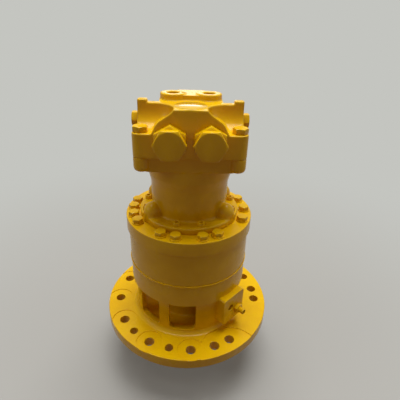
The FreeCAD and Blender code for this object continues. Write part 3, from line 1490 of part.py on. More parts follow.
def relief_valves():
    """The two side relief valves, each a hexagon plug with a spring and a poppet behind it."""
    for side, name in ((-1, "left"), (1, "right")):
        turn = FreeCAD.Rotation(FreeCAD.Vector(0, 1, 0), 90 * side)
        level = turn.multiply(about_z(30))
        y, z = -S.relief_setback, S.relief_height
        face = side * S.upper_half_width
        inner = side * (S.upper_half_width - S.relief_thread_length)
        seat = side * (S.upper_half_width - S.relief_bore_depth + S.seat_gap)
        head = chamfered_hexagon("relief_head", S.relief_flats, S.relief_head_length,
                                 face, y, z, level)
        thread = cylinder("relief_shank", S.relief_thread_radius, S.relief_thread_length + OVER,
                          inner, y, z, turn)
        guide = cylinder("relief_guide", S.relief_stem_radius + S.slide_gap,
                         S.relief_guide_depth + OVER, inner - side * OVER, y, z, turn)
        keep(f"relief_plug_{name}", cut("relief_drilled", fuse("relief_solid", head, thread),
                                        guide))
        room = S.relief_bore_depth - S.relief_thread_length - S.seat_gap
        disc = cylinder("relief_disc", S.relief_poppet_radius, S.relief_poppet_head,
                        seat, y, z, turn)
        stem = cylinder("relief_stem", S.relief_stem_radius, room + S.relief_overlap,
                        seat, y, z, turn)
        keep(f"relief_poppet_{name}", fuse("relief_poppet_solid", disc, stem))
        coil = solid("relief_coil", spring(
            float(S.spring_wire), float(S.relief_stem_radius + S.relief_poppet_radius) / 2,
            float(room - S.relief_poppet_head - 2 * S.spring_gap), int(S.spring_turns)))
        keep(f"relief_spring_{name}",
             put(coil, seat + side * (S.relief_poppet_head + S.spring_gap), y, z, turn))


def motor_shaft():
    """The motor's shaft with its bearing, seal and end bush."""
    keep("motor_shaft", turned("motor_shaft_turned", (
        (0, S.motor_shaft_bottom), (S.shaft_end_radius, S.motor_shaft_bottom),
        (S.shaft_end_radius, S.cover_top - S.seal_rim),
        (S.motor_shaft_radius, S.cover_top - S.seal_rim),
        (S.motor_shaft_radius, S.bearing_high),
        (S.motor_shaft_radius + S.shaft_collar, S.bearing_high),
        (S.motor_shaft_radius + S.shaft_collar, S.bearing_high + S.shaft_collar_width),
        (S.block_spline_radius, S.bearing_high + S.shaft_collar_width),
        (S.block_spline_radius, S.valve_plate_bottom - S.plate_gap),
        (S.end_journal_radius, S.valve_plate_bottom - S.plate_gap),
        (S.end_journal_radius, S.motor_shaft_top), (0, S.motor_shaft_top),
    )))
    inner = S.motor_shaft_radius + S.bearing_ring_wall
    outer = S.shaft_bearing_radius - S.bearing_ring_wall
    keep("shaft_bearing_inner", ring("inner_race", S.motor_shaft_radius, inner,
                                     S.bearing_low, S.bearing_high))
    keep("shaft_bearing_outer", ring("outer_race", outer, S.shaft_bearing_radius,
                                     S.bearing_low, S.bearing_high))
    balls = []
    count = int(S.ball_count)
    for index in range(count):
        ball = doc.addObject("Part::Sphere", "bearing_ball")
        bind(ball, "Radius", (outer - inner) / 2 - S.running_gap)
        x, y = polar((outer + inner) / 2, index * 360 / count)
        balls.append(put(ball, x, y, (S.bearing_low + S.bearing_high) / 2))
    keep("shaft_bearing_balls", group("ball_set", balls))
    keep("shaft_seal", ring("shaft_seal_ring", S.motor_shaft_radius + S.running_gap, S.shaft_bore,
                            S.cover_top, S.cover_top + S.shaft_seal_width))
    keep("end_bush", ring("end_bush_ring", S.end_journal_radius + S.running_gap,
                          S.end_bearing_radius, S.joint_height + OVER,
                          S.joint_height + OVER + S.end_bearing_width))


def piston_group():
    """Swash plate, shoes, pistons, retainer, cylinder block and valve plate."""
    tilt = float(S.swash_angle)
    slope = FreeCAD.Placement(FreeCAD.Vector(0, 0, float(S.swash_centre)),
                              FreeCAD.Rotation(FreeCAD.Vector(0, 1, 0), -tilt))
    blank = ring("swash_blank", S.swash_bore, S.swash_radius,
                 S.casing_floor, S.swash_centre + S.swash_thickness)
    above = box("swash_above", 4 * S.swash_radius, 4 * S.swash_radius, 3 * S.swash_thickness)
    put(above, 0, 0, 0, slope.Rotation)
    corner = slope.multVec(FreeCAD.Vector(-2 * float(S.swash_radius), -2 * float(S.swash_radius), 0))
    above.Placement = FreeCAD.Placement(corner, slope.Rotation)
    keep("swash_plate", cut("swash_cut", blank, above))

    count = int(S.piston_count)
    offset = float(S.ball_height)
    upright = FreeCAD.Vector(0, 0, 1)
    moving, holes = [], []
    retainer_low = float(S.shoe_thickness + S.retainer_gap)
    for index in range(count):
        x, y = polar(float(S.piston_circle), (index + 0.5) * 360 / count)
        height = float(S.swash_centre) + x * math.tan(math.radians(tilt))
        ball = FreeCAD.Vector(x, y, height + offset / math.cos(math.radians(tilt)))
        foot = slope.inverse().multVec(ball)
        foot.z = 0
        shoe = Part.makeCylinder(float(S.shoe_radius), float(S.shoe_thickness), foot, upright)
        cup = Part.makeCylinder(float(S.shoe_cup_radius), offset + float(S.shoe_cup_rise),
                                foot, upright)
        socket = Part.makeSphere(float(S.ball_radius + S.running_gap),
                                 foot + FreeCAD.Vector(0, 0, offset))
        shoe = shoe.fuse(cup).cut(socket)
        shoe.Placement = slope.multiply(shoe.Placement)
        moving.append(shoe)
        holes.append(Part.makeCylinder(float(S.shoe_cup_radius + S.retainer_play),
                                       float(S.retainer_thickness) + 2 * OVER,
                                       foot + FreeCAD.Vector(0, 0, retainer_low - OVER), upright))
        neck = float(S.ball_neck)
        rod = Part.makeCylinder(float(S.ball_neck_radius), neck + OVER, ball, upright)
        crown = Part.makeCylinder(float(S.piston_radius - S.slide_gap), float(S.piston_length),
                                  ball + FreeCAD.Vector(0, 0, neck), upright)
        moving.append(Part.makeSphere(float(S.ball_radius), ball).fuse([rod, crown]))
    keep("pistons_and_shoes", solid("piston_set", Part.makeCompound(moving)))
    plate = Part.makeCylinder(float(S.retainer_radius), float(S.retainer_thickness),
                              FreeCAD.Vector(0, 0, retainer_low), upright)
    hollow = Part.makeCylinder(float(S.swash_bore), float(S.retainer_thickness) + 2 * OVER,
                               FreeCAD.Vector(0, 0, retainer_low - OVER), upright)
    plate = plate.cut([hollow] + holes)
    plate.Placement = slope.multiply(plate.Placement)
    keep("retainer_plate", solid("retainer_made", plate))

    barrel = ring("barrel", S.block_spline_radius + S.press_gap, S.block_radius,
                  S.block_bottom, S.block_top)
    bores = []
    for index in range(count):
        x, y = polar(S.piston_circle, (index + 0.5) * 360 / count)
        bores.append(cylinder("piston_bore", S.piston_radius,
                              S.block_top - S.block_head - S.block_bottom + OVER,
                              x, y, S.block_bottom - OVER))
        bores.append(cylinder("barrel_port", S.kidney_half_width, S.block_head + 2 * OVER,
                              x, y, S.block_top - S.block_head - OVER))
    keep("cylinder_block", cut("barrel_bored", barrel, *bores))

    disc = ring("valve_disc", S.end_journal_radius + S.plate_gap, S.valve_plate_radius,
                S.valve_plate_bottom, S.joint_height)
    groove = ring("kidney_ring", S.piston_circle - S.kidney_half_width,
                  S.piston_circle + S.kidney_half_width,
                  S.valve_plate_bottom - OVER, S.joint_height + OVER)
    bridge = box("kidney_bridge", 4 * S.kidney_half_width, 2 * S.valve_plate_radius,
                 S.valve_plate_thickness + 4 * OVER, -2 * S.kidney_half_width,
                 -S.valve_plate_radius, S.valve_plate_bottom - 2 * OVER)
    keep("valve_plate", cut("valve_plate_cut", disc, cut("kidneys", groove, bridge)))


def parking_brake():
    """Friction discs, separator plates, the spring-applied piston and its conical springs."""
    plates, discs = [], []
    level = S.brake_bottom
    for index in range(int(S.brake_disc_count)):
        plates.append(ring("brake_plate", S.brake_plate_bore, S.casing_bore,
                           level, level + S.brake_plate_thickness))
        level = level + S.brake_plate_thickness + S.brake_gap
        discs.append(ring("brake_disc", S.block_radius + S.thread_gap, S.brake_disc_radius,
                          level, level + S.brake_disc_thickness))
        level = level + S.brake_disc_thickness + S.brake_gap
    plates.append(ring("brake_plate", S.brake_plate_bore, S.casing_bore,
                       level, level + S.brake_plate_thickness))
    level = level + S.brake_plate_thickness + S.brake_gap
    keep("brake_plates", group("brake_plate_set", plates))
    keep("brake_discs", group("brake_disc_set", discs))
    top = level + S.brake_piston_height
    keep("brake_piston", ring("brake_piston_ring", S.brake_plate_bore,
                              S.casing_bore - S.slide_gap, level, top))
    count = int(S.brake_spring_count)
    step = (S.joint_height - top) / count
    gap = S.spring_gap
    springs = []
    for index in range(count):
        low = top + step * index + gap / 2
        high = low + step - S.brake_spring_thickness - gap
        first, last = (low, high) if index % 2 else (high, low)
        springs.append(turned("brake_spring", (
            (S.brake_plate_bore + S.brake_spring_setback, first), (S.brake_disc_radius, last),
            (S.brake_disc_radius, last + S.brake_spring_thickness),
            (S.brake_plate_bore + S.brake_spring_setback, first + S.brake_spring_thickness),
        )))
    keep("brake_springs", group("brake_spring_set", springs))


def export():
    """Check every object, then write each piece to its own file."""
    doc.recompute()
    faults = [thing.Name for thing in doc.Objects
              if "Invalid" in thing.State or "Error" in thing.State]
    if faults:
        raise RuntimeError("not built: " + ", ".join(faults))
    for node, thing in NODES.items():
        if thing.Shape.isNull() or not thing.Shape.isValid():
            raise RuntimeError("bad shape: " + node)
    os.makedirs("parts", exist_ok=True)
    for node, thing in NODES.items():
        thing.Shape.exportStep(f"parts/{node}.step")
    print(len(NODES), "pieces written")


lower_housing()
ring_gear()
top_cover()
case_fasteners()
drain_pipe()
taper_bearing("lower_bearing", S.lower_journal, S.lower_cup_radius,
              S.lower_cup_bottom, S.lower_bearing_width, False)
taper_bearing("upper_bearing", S.upper_journal, S.upper_cup_radius,
              S.upper_bearing_bottom, S.upper_bearing_width, True)
pinion_shaft()
shaft_fittings()
carrier_two()
carrier_one()
planets()
sun_one()
motor_casing()
valve_casing()
corner_bolts()
mount_screws()
check_valves()
relief_valves()
motor_shaft()
piston_group()
parking_brake()
export()
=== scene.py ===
import json
import math

import bmesh
import bpy
from bpy.props import FloatProperty, FloatVectorProperty, PointerProperty
from mathutils import Matrix, Vector


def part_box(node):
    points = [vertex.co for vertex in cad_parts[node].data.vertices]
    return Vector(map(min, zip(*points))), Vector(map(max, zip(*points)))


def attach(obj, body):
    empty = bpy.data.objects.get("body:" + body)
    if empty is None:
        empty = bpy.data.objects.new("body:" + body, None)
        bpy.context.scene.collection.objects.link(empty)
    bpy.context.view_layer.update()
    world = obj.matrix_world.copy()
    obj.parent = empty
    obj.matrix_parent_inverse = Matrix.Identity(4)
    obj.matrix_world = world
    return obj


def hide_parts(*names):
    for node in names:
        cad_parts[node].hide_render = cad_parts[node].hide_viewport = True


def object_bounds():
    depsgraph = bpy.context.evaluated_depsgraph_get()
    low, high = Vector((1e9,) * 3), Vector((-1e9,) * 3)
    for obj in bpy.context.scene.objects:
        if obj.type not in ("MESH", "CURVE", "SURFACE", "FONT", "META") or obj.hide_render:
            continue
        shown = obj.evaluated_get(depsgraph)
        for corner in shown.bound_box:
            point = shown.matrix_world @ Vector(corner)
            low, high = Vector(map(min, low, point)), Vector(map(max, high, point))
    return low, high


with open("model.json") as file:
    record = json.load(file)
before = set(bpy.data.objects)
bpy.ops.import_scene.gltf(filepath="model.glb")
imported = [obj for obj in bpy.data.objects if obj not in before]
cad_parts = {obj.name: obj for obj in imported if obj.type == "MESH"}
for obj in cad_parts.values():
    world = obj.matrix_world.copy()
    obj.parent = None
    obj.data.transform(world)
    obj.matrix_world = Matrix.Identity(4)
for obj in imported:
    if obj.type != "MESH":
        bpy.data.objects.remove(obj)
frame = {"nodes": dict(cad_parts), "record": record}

bl_info = {
    "name": "Swing gearbox",
    "version": (1, 0, 0),
    "blender": (4, 5, 0),
    "location": "View3D > Sidebar > Gearbox",
    "description": "Builds the painted fasteners, plugs and castings of a swing gearbox",
    "category": "Object",
}

CAD_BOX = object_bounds()
MM = 0.001

# Heights that the CAD gives, in metres.
LID_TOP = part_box("top_cover")[1][2]
BAND_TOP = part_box("lower_housing")[1][2]
CORNER_BOLT_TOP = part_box("corner_bolts")[1][2]

# Points nearer to each other than this are merged.
WELD = 0.01 * MM

# The camera as fitted to the photograph: metres, radians, and pixels of a 400 pixel frame.
CAMERA_PLACE = (0, -0.8101, 0.7795)
CAMERA_PITCH, CAMERA_YAW, CAMERA_ROLL = 0.480, 0.035, 0.034
FOCAL_LENGTH = 345
FRAME_WIDTH = 400
SENSOR_WIDTH = 36

# The floor's side and its middle's distance behind the gearbox, and the backdrop at its rear.
FLOOR_SIZE = 14
FLOOR_MIDDLE = 1.5
BACKDROP_HEIGHT = 7
BACKDROP_CURVE = 2.2

# Square area lamps: name, place, point aimed at, side in metres and power in watts.
LAMPS = (
    ("overhead_box", (0.3, 1.5, 8.6), (0, 0, 0.3), 6.3, 980),
    ("left_strip", (-2.1, -0.5, 1.5), (0, 0, 0.3), 1.0, 6),
    ("right_strip", (2.2, -0.2, 1.3), (0, 0, 0.3), 0.8, 4),
    ("rear_card", (0, 2.36, 1.16), (0, 0, 0.62), 0.6, 2.2),
)

# Where the paper passes from its own tone to the even one, and the even one's least share.
PAPER_NEAR, PAPER_FAR = 0.3, 1.7
PAPER_LEAST = 0.12

# The Mix node's colour sockets, whose names its other kinds share.
COLOUR_A, COLOUR_B, COLOUR_MIXED = 6, 7, 2

# Widths of the finishes' patterns in millimetres: the blotches where the spray lies thicker,
# the paint's orange peel and the rubber's bloom.
BLOTCH, PEEL, BLOOM = 45, 7, 3


def linear(text):
    """An sRGB hex colour as linear red, green, blue and a full alpha."""
    values = [int(text[i:i + 2], 16) / 255 for i in (0, 2, 4)]
    turned = [v / 12.92 if v <= 0.04045 else ((v + 0.055) / 1.055) ** 2.4 for v in values]
    return (*turned, 1.0)


def colour_setting(text, name, description):
    return FloatVectorProperty(
        name=name, description=description, default=linear(text), size=4,
        subtype="COLOR", min=0.0, max=1.0)


def length_setting(value, name, description):
    return FloatProperty(
        name=name, description=description, default=value, unit="LENGTH", precision=4)


class GearboxSizes(bpy.types.PropertyGroup):
    """Sizes that a user would change."""

    lid_bolt_flats: length_setting(24 * MM, "Lid bolt flats", "Across flats of the lid's bolts")
    lid_bolt_head: length_setting(10 * MM, "Lid bolt head", "Height of the lid bolts' heads")
    washer_radius: length_setting(15 * MM, "Washer radius", "Radius of the lid's washers")
    washer_thickness: length_setting(3 * MM, "Washer thickness", "Thickness of the washers")
    corner_bolt_flats: length_setting(30 * MM, "Corner bolt flats",
                                      "Across flats of the motor's corner bolts")
    corner_bolt_head: length_setting(12.5 * MM, "Corner bolt head",
                                     "Height of the corner bolts' heads")
    plug_collar_flats: length_setting(66 * MM, "Plug collar flats",
                                      "Across flats of the large plugs' rear hexagon")
    plug_collar: length_setting(16 * MM, "Plug collar", "Length of the rear hexagon")
    plug_flats: length_setting(62 * MM, "Plug flats", "Across flats of the front hexagon")
    plug_head: length_setting(18 * MM, "Plug head", "Length of the front hexagon")
    relief_flats: length_setting(31 * MM, "Relief flats", "Across flats of the relief plugs")
    relief_head: length_setting(16 * MM, "Relief head", "Length of the relief plugs' hexagon")
    screw_radius: length_setting(8.5 * MM, "Screw radius", "Radius of the mount screws' heads")
    screw_head: length_setting(10 * MM, "Screw head", "Height of the mount screws' heads")
    stub_flats: length_setting(24 * MM, "Stub flats", "Across flats of the drain stub")
    edge: length_setting(0.7 * MM, "Paint edge", "Radius that the paint leaves on an edge")
    case_edge: length_setting(0.8 * MM, "Case edge", "Radius of the gear cases' painted edges")


class GearboxColours(bpy.types.PropertyGroup):
    """Colours of the finishes and of the studio."""

    enamel: colour_setting("E8BA03", "Enamel", "Golden yellow enamel")
    enamel_deep: colour_setting("E2B102", "Deep enamel", "Enamel where it lies thicker")
    paper: colour_setting("A09F9B", "Paper", "Backdrop paper where the lamps light it")
    floor: colour_setting("C4C5C0", "Floor", "Studio floor and backdrop as the camera sees them")


def sizes():
    return bpy.context.scene.gearbox_sizes


def colours():
    return bpy.context.scene.gearbox_colours


# Materials


def add(tree, kind, settings=None, links=None):
    """Add a node, set its sockets and properties, and link other nodes' outputs to it."""
    node = tree.nodes.new(kind)
    for key, value in (settings or {}).items():
        if key in node.inputs:
            node.inputs[key].default_value = value
        else:
            setattr(node, key, value)
    for key, source in (links or {}).items():
        tree.links.new(source, node.inputs[key])
    return node


def fresh_material(name):
    """A new material with its tree, object coordinates and shader, or one made before alone."""
    old = bpy.data.materials.get(name)
    if old is not None:
        return old, None, None, None
    material = bpy.data.materials.new(name)
    material.use_nodes = True
    tree = material.node_tree
    tree.nodes.clear()
    place = add(tree, "ShaderNodeTexCoord").outputs["Object"]
    shader = add(tree, "ShaderNodeBsdfPrincipled")
    add(tree, "ShaderNodeOutputMaterial", None, {"Surface": shader.outputs["BSDF"]})
    return material, tree, place, shader


def enamel(name, grain_mm, grain_depth_mm, wave_depth_mm, coat=0.12):
    """Alkyd machine enamel, sprayed thick: a wet gloss over whatever lies beneath it.

    The grain is the sand mould's, filled by the paint; the wave is the paint's own orange peel.
    """
    material, tree, place, shader = fresh_material(name)
    if tree is None:
        return material
    blotch = add(tree, "ShaderNodeTexNoise", {"Scale": 1 / (BLOTCH * MM), "Detail": 3.0},
                 {"Vector": place})
    tone = add(tree, "ShaderNodeMapRange",
               {"From Min": 0.38, "From Max": 0.62, "To Min": 0.0, "To Max": 1.0},
               {"Value": blotch.outputs["Fac"]})
    mixed = add(tree, "ShaderNodeMix", {"data_type": "RGBA"}, {"Factor": tone.outputs["Result"]})
    mixed.inputs[COLOUR_A].default_value = colours().enamel
    mixed.inputs[COLOUR_B].default_value = colours().enamel_deep
    tree.links.new(mixed.outputs[COLOUR_MIXED], shader.inputs["Base Color"])
    grain = add(tree, "ShaderNodeTexNoise",
                {"Scale": 1 / (grain_mm * MM), "Detail": 4.0, "Roughness": 0.6},
                {"Vector": place})
    peel = add(tree, "ShaderNodeTexNoise", {"Scale": 1 / (PEEL * MM), "Detail": 1.0},
               {"Vector": place})
    first = add(tree, "ShaderNodeBump", {"Strength": 1.0, "Distance": grain_depth_mm * MM},
                {"Height": grain.outputs["Fac"]})
    second = add(tree, "ShaderNodeBump", {"Strength": 1.0, "Distance": wave_depth_mm * MM},
                 {"Height": peel.outputs["Fac"], "Normal": first.outputs["Normal"]})
    tree.links.new(second.outputs["Normal"], shader.inputs["Normal"])
    gloss = add(tree, "ShaderNodeMapRange", {"To Min": 0.22, "To Max": 0.34},
                {"Value": blotch.outputs["Fac"]})
    tree.links.new(gloss.outputs["Result"], shader.inputs["Roughness"])
    shader.inputs["Specular IOR Level"].default_value = 0.15
    shader.inputs["Coat Weight"].default_value = coat
    shader.inputs["Coat Roughness"].default_value = 0.06
    return material


def steel(name, text, roughness, brush_mm):
    """Turned and ground steel with a thin film of oil: soft streaks round the shaft."""
    material, tree, place, shader = fresh_material(name)
    if tree is None:
        return material
    darker = 0.72
    streak = add(tree, "ShaderNodeMapping", {"Scale": (1.0, 1.0, 6.0)}, {"Vector": place})
    noise = add(tree, "ShaderNodeTexNoise", {"Scale": 1 / (brush_mm * MM), "Detail": 3.0},
                {"Vector": streak.outputs["Vector"]})
    rough = add(tree, "ShaderNodeMapRange",
                {"To Min": roughness * 0.75, "To Max": roughness * 1.35},
                {"Value": noise.outputs["Fac"]})
    bump = add(tree, "ShaderNodeBump", {"Strength": 0.6, "Distance": 0.02 * MM},
               {"Height": noise.outputs["Fac"]})
    tone = add(tree, "ShaderNodeMix", {"data_type": "RGBA"}, {"Factor": noise.outputs["Fac"]})
    base = linear(text)
    tone.inputs[COLOUR_A].default_value = base
    tone.inputs[COLOUR_B].default_value = (*[v * darker for v in base[:3]], 1.0)
    tree.links.new(tone.outputs[COLOUR_MIXED], shader.inputs["Base Color"])
    tree.links.new(rough.outputs["Result"], shader.inputs["Roughness"])
    tree.links.new(bump.outputs["Normal"], shader.inputs["Normal"])
    shader.inputs["Metallic"].default_value = 1.0
    return material


def nitrile(name):
    """Moulded nitrile rubber: matt black with a faint bloom."""
    material, tree, place, shader = fresh_material(name)
    if tree is None:
        return material
    noise = add(tree, "ShaderNodeTexNoise", {"Scale": 1 / (BLOOM * MM), "Detail": 2.0},
                {"Vector": place})
    tone = add(tree, "ShaderNodeMix", {"data_type": "RGBA"}, {"Factor": noise.outputs["Fac"]})
    tone.inputs[COLOUR_A].default_value = linear("141414")
    tone.inputs[COLOUR_B].default_value = linear("242323")
    tree.links.new(tone.outputs[COLOUR_MIXED], shader.inputs["Base Color"])
    shader.inputs["Roughness"].default_value = 0.62
    return material


def seen_rays(tree):
    """One for a ray that shows a surface: the camera's, a mirrored or a refracted one."""
    path = add(tree, "ShaderNodeLightPath")
    total = path.outputs["Is Camera Ray"]
    for name in ("Is Glossy Ray", "Is Transmission Ray"):
        both = add(tree, "ShaderNodeMath", {"operation": "MAXIMUM"})
        tree.links.new(total, both.inputs[0])
        tree.links.new(path.outputs[name], both.inputs[1])
        total = both.outputs["Value"]
    return total


def studio_paper():
    """Seamless backdrop paper: matt where the object's shadow lies, an even pale tone beyond."""
    material, tree, place, shader = fresh_material("matt_studio_paper")
    if tree is None:
        return material
    distance = add(tree, "ShaderNodeVectorMath", {"operation": "LENGTH"})
    tree.links.new(place, distance.inputs[0])
    beyond = add(tree, "ShaderNodeMapRange",
                 {"interpolation_type": "SMOOTHSTEP", "From Min": PAPER_NEAR,
                  "From Max": PAPER_FAR, "To Min": PAPER_LEAST},
                 {"Value": distance.outputs["Value"]})
    shader.inputs["Base Color"].default_value = colours().paper
    shader.inputs["Roughness"].default_value = 0.85
    even = add(tree, "ShaderNodeEmission", {"Color": colours().floor, "Strength": 1.0})
    seen = add(tree, "ShaderNodeMixShader", None, {"Fac": beyond.outputs["Result"]})
    tree.links.new(shader.outputs["BSDF"], seen.inputs[1])
    tree.links.new(even.outputs["Emission"], seen.inputs[2])
    dim = add(tree, "ShaderNodeBsdfDiffuse", {"Color": linear("6E5C48")})
    mixed = add(tree, "ShaderNodeMixShader", None, {"Fac": seen_rays(tree)})
    tree.links.new(dim.outputs["BSDF"], mixed.inputs[1])
    tree.links.new(seen.outputs["Shader"], mixed.inputs[2])
    output = next(node for node in tree.nodes if node.bl_idname == "ShaderNodeOutputMaterial")
    tree.links.new(mixed.outputs["Shader"], output.inputs["Surface"])
    return material


def finish_of(slot):
    """The material for each of the record's slots."""
    if slot == "golden_paint":
        return enamel("enamel_on_turned_steel", 2.5, 0.02, 0.05)
    if slot == "seal_rubber":
        return nitrile("nitrile_rubber")
    if slot == "bronze":
        return steel("bearing_bronze", "B07F3E", 0.3, 4)
    if slot == "friction_lining":
        return steel("sintered_lining", "5A5048", 0.6, 2)
    if slot == "hardened_steel":
        return steel("hardened_steel", "8E9092", 0.28, 5)
    return steel("machined_steel", "A6A8AA", 0.34, 6)


def glazed_enamel():
    """The same enamel where it has run level on a flat machined disc, smooth as a mirror."""
    return enamel("enamel_run_level", 30, 0.004, 0.004, coat=1.0)


def cast_enamel():
    """The enamel over the coarser skin that a sand mould leaves."""
    return enamel("enamel_on_sand_casting", 2.2, 0.12, 0.1)


def dress(thing, material):
    thing.data.materials.clear()
    thing.data.materials.append(material)


# Modelling


def deselect():
    if bpy.context.object is not None and bpy.context.object.mode != "OBJECT":
        bpy.ops.object.mode_set(mode="OBJECT")
    bpy.ops.object.select_all(action="DESELECT")


def activate(thing):
    deselect()
    thing.select_set(True)
    bpy.context.view_layer.objects.active = thing


def apply_modifier(thing, kind, **settings):
    activate(thing)
    modifier = thing.modifiers.new(kind.lower(), kind)
    for key, value in settings.items():
        setattr(modifier, key, value)
    bpy.ops.object.modifier_apply(modifier=modifier.name)


def settle(thing, angle=35):
    """Put the piece's place into its mesh and smooth all but its sharp edges."""
    activate(thing)
    bpy.ops.object.transform_apply(location=True, rotation=True, scale=True)
    bpy.ops.object.shade_smooth_by_angle(angle=math.radians(angle))
    return thing


def lathe(name, profile, steps=48):
    """Extrude a vertex along radius and height points, then spin the line about Z."""
    deselect()
    bpy.ops.mesh.primitive_plane_add(size=MM)
    piece = bpy.context.object
    piece.name = name
    bpy.ops.object.mode_set(mode="EDIT")
    bpy.ops.mesh.select_all(action="SELECT")
    bpy.ops.mesh.merge(type="CENTER")
    radius, height = profile[0]
    bpy.ops.transform.translate(value=(radius, 0, height))
    for following in profile[1:]:
        step = (following[0] - radius, 0, following[1] - height)
        bpy.ops.mesh.extrude_region_move(TRANSFORM_OT_translate={"value": step})
        radius, height = following
    bpy.ops.mesh.select_all(action="SELECT")
    bpy.ops.mesh.spin(steps=steps, angle=2 * math.pi, center=(0, 0, 0), axis=(0, 0, 1))
    bpy.ops.mesh.select_all(action="SELECT")
    bpy.ops.mesh.remove_doubles(threshold=WELD)
    bpy.ops.mesh.normals_make_consistent(inside=False)
    bpy.ops.object.mode_set(mode="OBJECT")
    return piece


def combine(thing, other, operation):
    """Apply a boolean with another piece, and remove that piece."""
    apply_modifier(thing, "BOOLEAN", object=other, operation=operation, solver="EXACT")
    bpy.data.objects.remove(other, do_unlink=True)
    return thing


def hexagon(name, flats, height, low=0.0, bevel=True):
    """A bolt's hexagon: a prism whose upper corners are turned off at 30 degrees."""
    deselect()
    bpy.ops.mesh.primitive_cylinder_add(vertices=6, radius=flats / math.sqrt(3), depth=height,
                                        location=(0, 0, low + height / 2))
    head = bpy.context.object
    head.name = name
    activate(head)
    bpy.ops.object.transform_apply(location=True, rotation=True, scale=True)
    if bevel:
        top = flats * 0.485
        # The cone widens by this over its height, which is 30 degrees.
        spread = height * math.sqrt(3)
        deselect()
        bpy.ops.mesh.primitive_cone_add(vertices=72, radius1=top + spread, radius2=top,
                                        depth=height, location=(0, 0, low + height / 2))
        combine(head, bpy.context.object, "INTERSECT")
    return head


def soft_edges(thing, width):
    """Round a fastener's edges as its paint does, also the shallow ones of its chamfer."""
    apply_modifier(thing, "BEVEL", width=width, segments=2, limit_method="ANGLE",
                   angle_limit=math.radians(24), use_clamp_overlap=True)
    return thing


def merged_copy(node):
    """A copy of a CAD node, free of its parent, with its faces joined at their edges."""
    activate(frame["nodes"][node])
    bpy.ops.object.duplicate(linked=False)
    piece = bpy.context.object
    piece.name = node + "_painted"
    piece.data.name = piece.name
    bpy.ops.object.mode_set(mode="EDIT")
    bpy.ops.mesh.select_all(action="SELECT")
    bpy.ops.mesh.remove_doubles(threshold=WELD)
    bpy.ops.object.mode_set(mode="OBJECT")
    piece.parent = None
    return piece


def round_outer_edges(piece, width, least_radius):
    """Round the sharp convex edges that lie at least this far from the main axis.

    An edge of the lug that ends in an inner corner stays, because its rounding would tear there.
    """
    lug_radius, lug_foot = 155 * MM, 50 * MM
    smooth_below = 50
    apply_modifier(piece, "DECIMATE", decimate_type="DISSOLVE", angle_limit=math.radians(0.1))
    mesh = bmesh.new()
    mesh.from_mesh(piece.data)
    weights = mesh.edges.layers.float.get("bevel_weight_edge")
    if weights is None:
        weights = mesh.edges.layers.float.new("bevel_weight_edge")
    sharp = {edge for edge in mesh.edges
             if edge.is_manifold and edge.calc_face_angle(0) > math.radians(60)}
    inner = {vertex for edge in sharp if not edge.is_convex for vertex in edge.verts}
    for edge in sharp:
        reach = min(vertex.co.xy.length for vertex in edge.verts)
        on_lug = reach > lug_radius and edge.verts[0].co.z > lug_foot
        if edge.is_convex and reach >= least_radius and not (on_lug and inner & set(edge.verts)):
            edge[weights] = 1.0
    mesh.to_mesh(piece.data)
    mesh.free()
    apply_modifier(piece, "BEVEL", width=width, segments=3, limit_method="WEIGHT",
                   use_clamp_overlap=False)
    settle(piece, smooth_below)
    mark_sharp(piece, smooth_below)
    apply_modifier(piece, "WEIGHTED_NORMAL", mode="FACE_AREA", weight=70, keep_sharp=True)
    return piece


def mark_sharp(piece, angle):
    """Mark each edge sharp by its own angle, the inner corners with the outer ones."""
    mesh = bmesh.new()
    mesh.from_mesh(piece.data)
    for edge in mesh.edges:
        edge.smooth = edge.is_manifold and edge.calc_face_angle(0) < math.radians(angle)
    mesh.to_mesh(piece.data)
    mesh.free()


def joint_lip():
    """The lip at the top of the housing's band, which stands out under the ring gear."""
    top = BAND_TOP - 1.3 * MM
    foot = top - 7 * MM
    inside, band, lip = 158 * MM, 159.4 * MM, 161.4 * MM
    rounding = 0.3 * MM
    return lathe("joint_lip", [
        (inside, top), (lip - rounding, top), (lip, top - rounding), (lip, top - 1 * MM),
        (band, foot), (inside, foot), (inside, top)], 192)


def join(name, pieces):
    """Join pieces into the first of them, under this name."""
    deselect()
    for piece in pieces:
        piece.select_set(True)
    bpy.context.view_layer.objects.active = pieces[0]
    bpy.ops.object.join()
    joined = bpy.context.object
    joined.name = name
    joined.data.name = name
    return joined


def copies(piece, places):
    """Copies of a piece, each with its own mesh, moved and turned by the matrices given."""
    made = []
    for matrix in places:
        activate(piece)
        bpy.ops.object.duplicate(linked=False)
        twin = bpy.context.object
        twin.data.transform(matrix)
        made.append(twin)
    bpy.data.objects.remove(piece, do_unlink=True)
    return made


def stand(x, y, z, turn=0.0):
    """The matrix that stands a piece here, turned about its own Z by degrees."""
    return Matrix.Translation((x, y, z)) @ Matrix.Rotation(math.radians(turn), 4, "Z")


def publish(thing, body, material, node):
    """Ride on a body, take the material given and stand for the CAD node named."""
    dress(thing, material)
    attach(thing, body)
    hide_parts(node)
    return thing


def paint(thing, node):
    """Settle a fastener or plug, paint it and let it stand for its CAD node."""
    return publish(settle(thing), "casing", finish_of("golden_paint"), node)


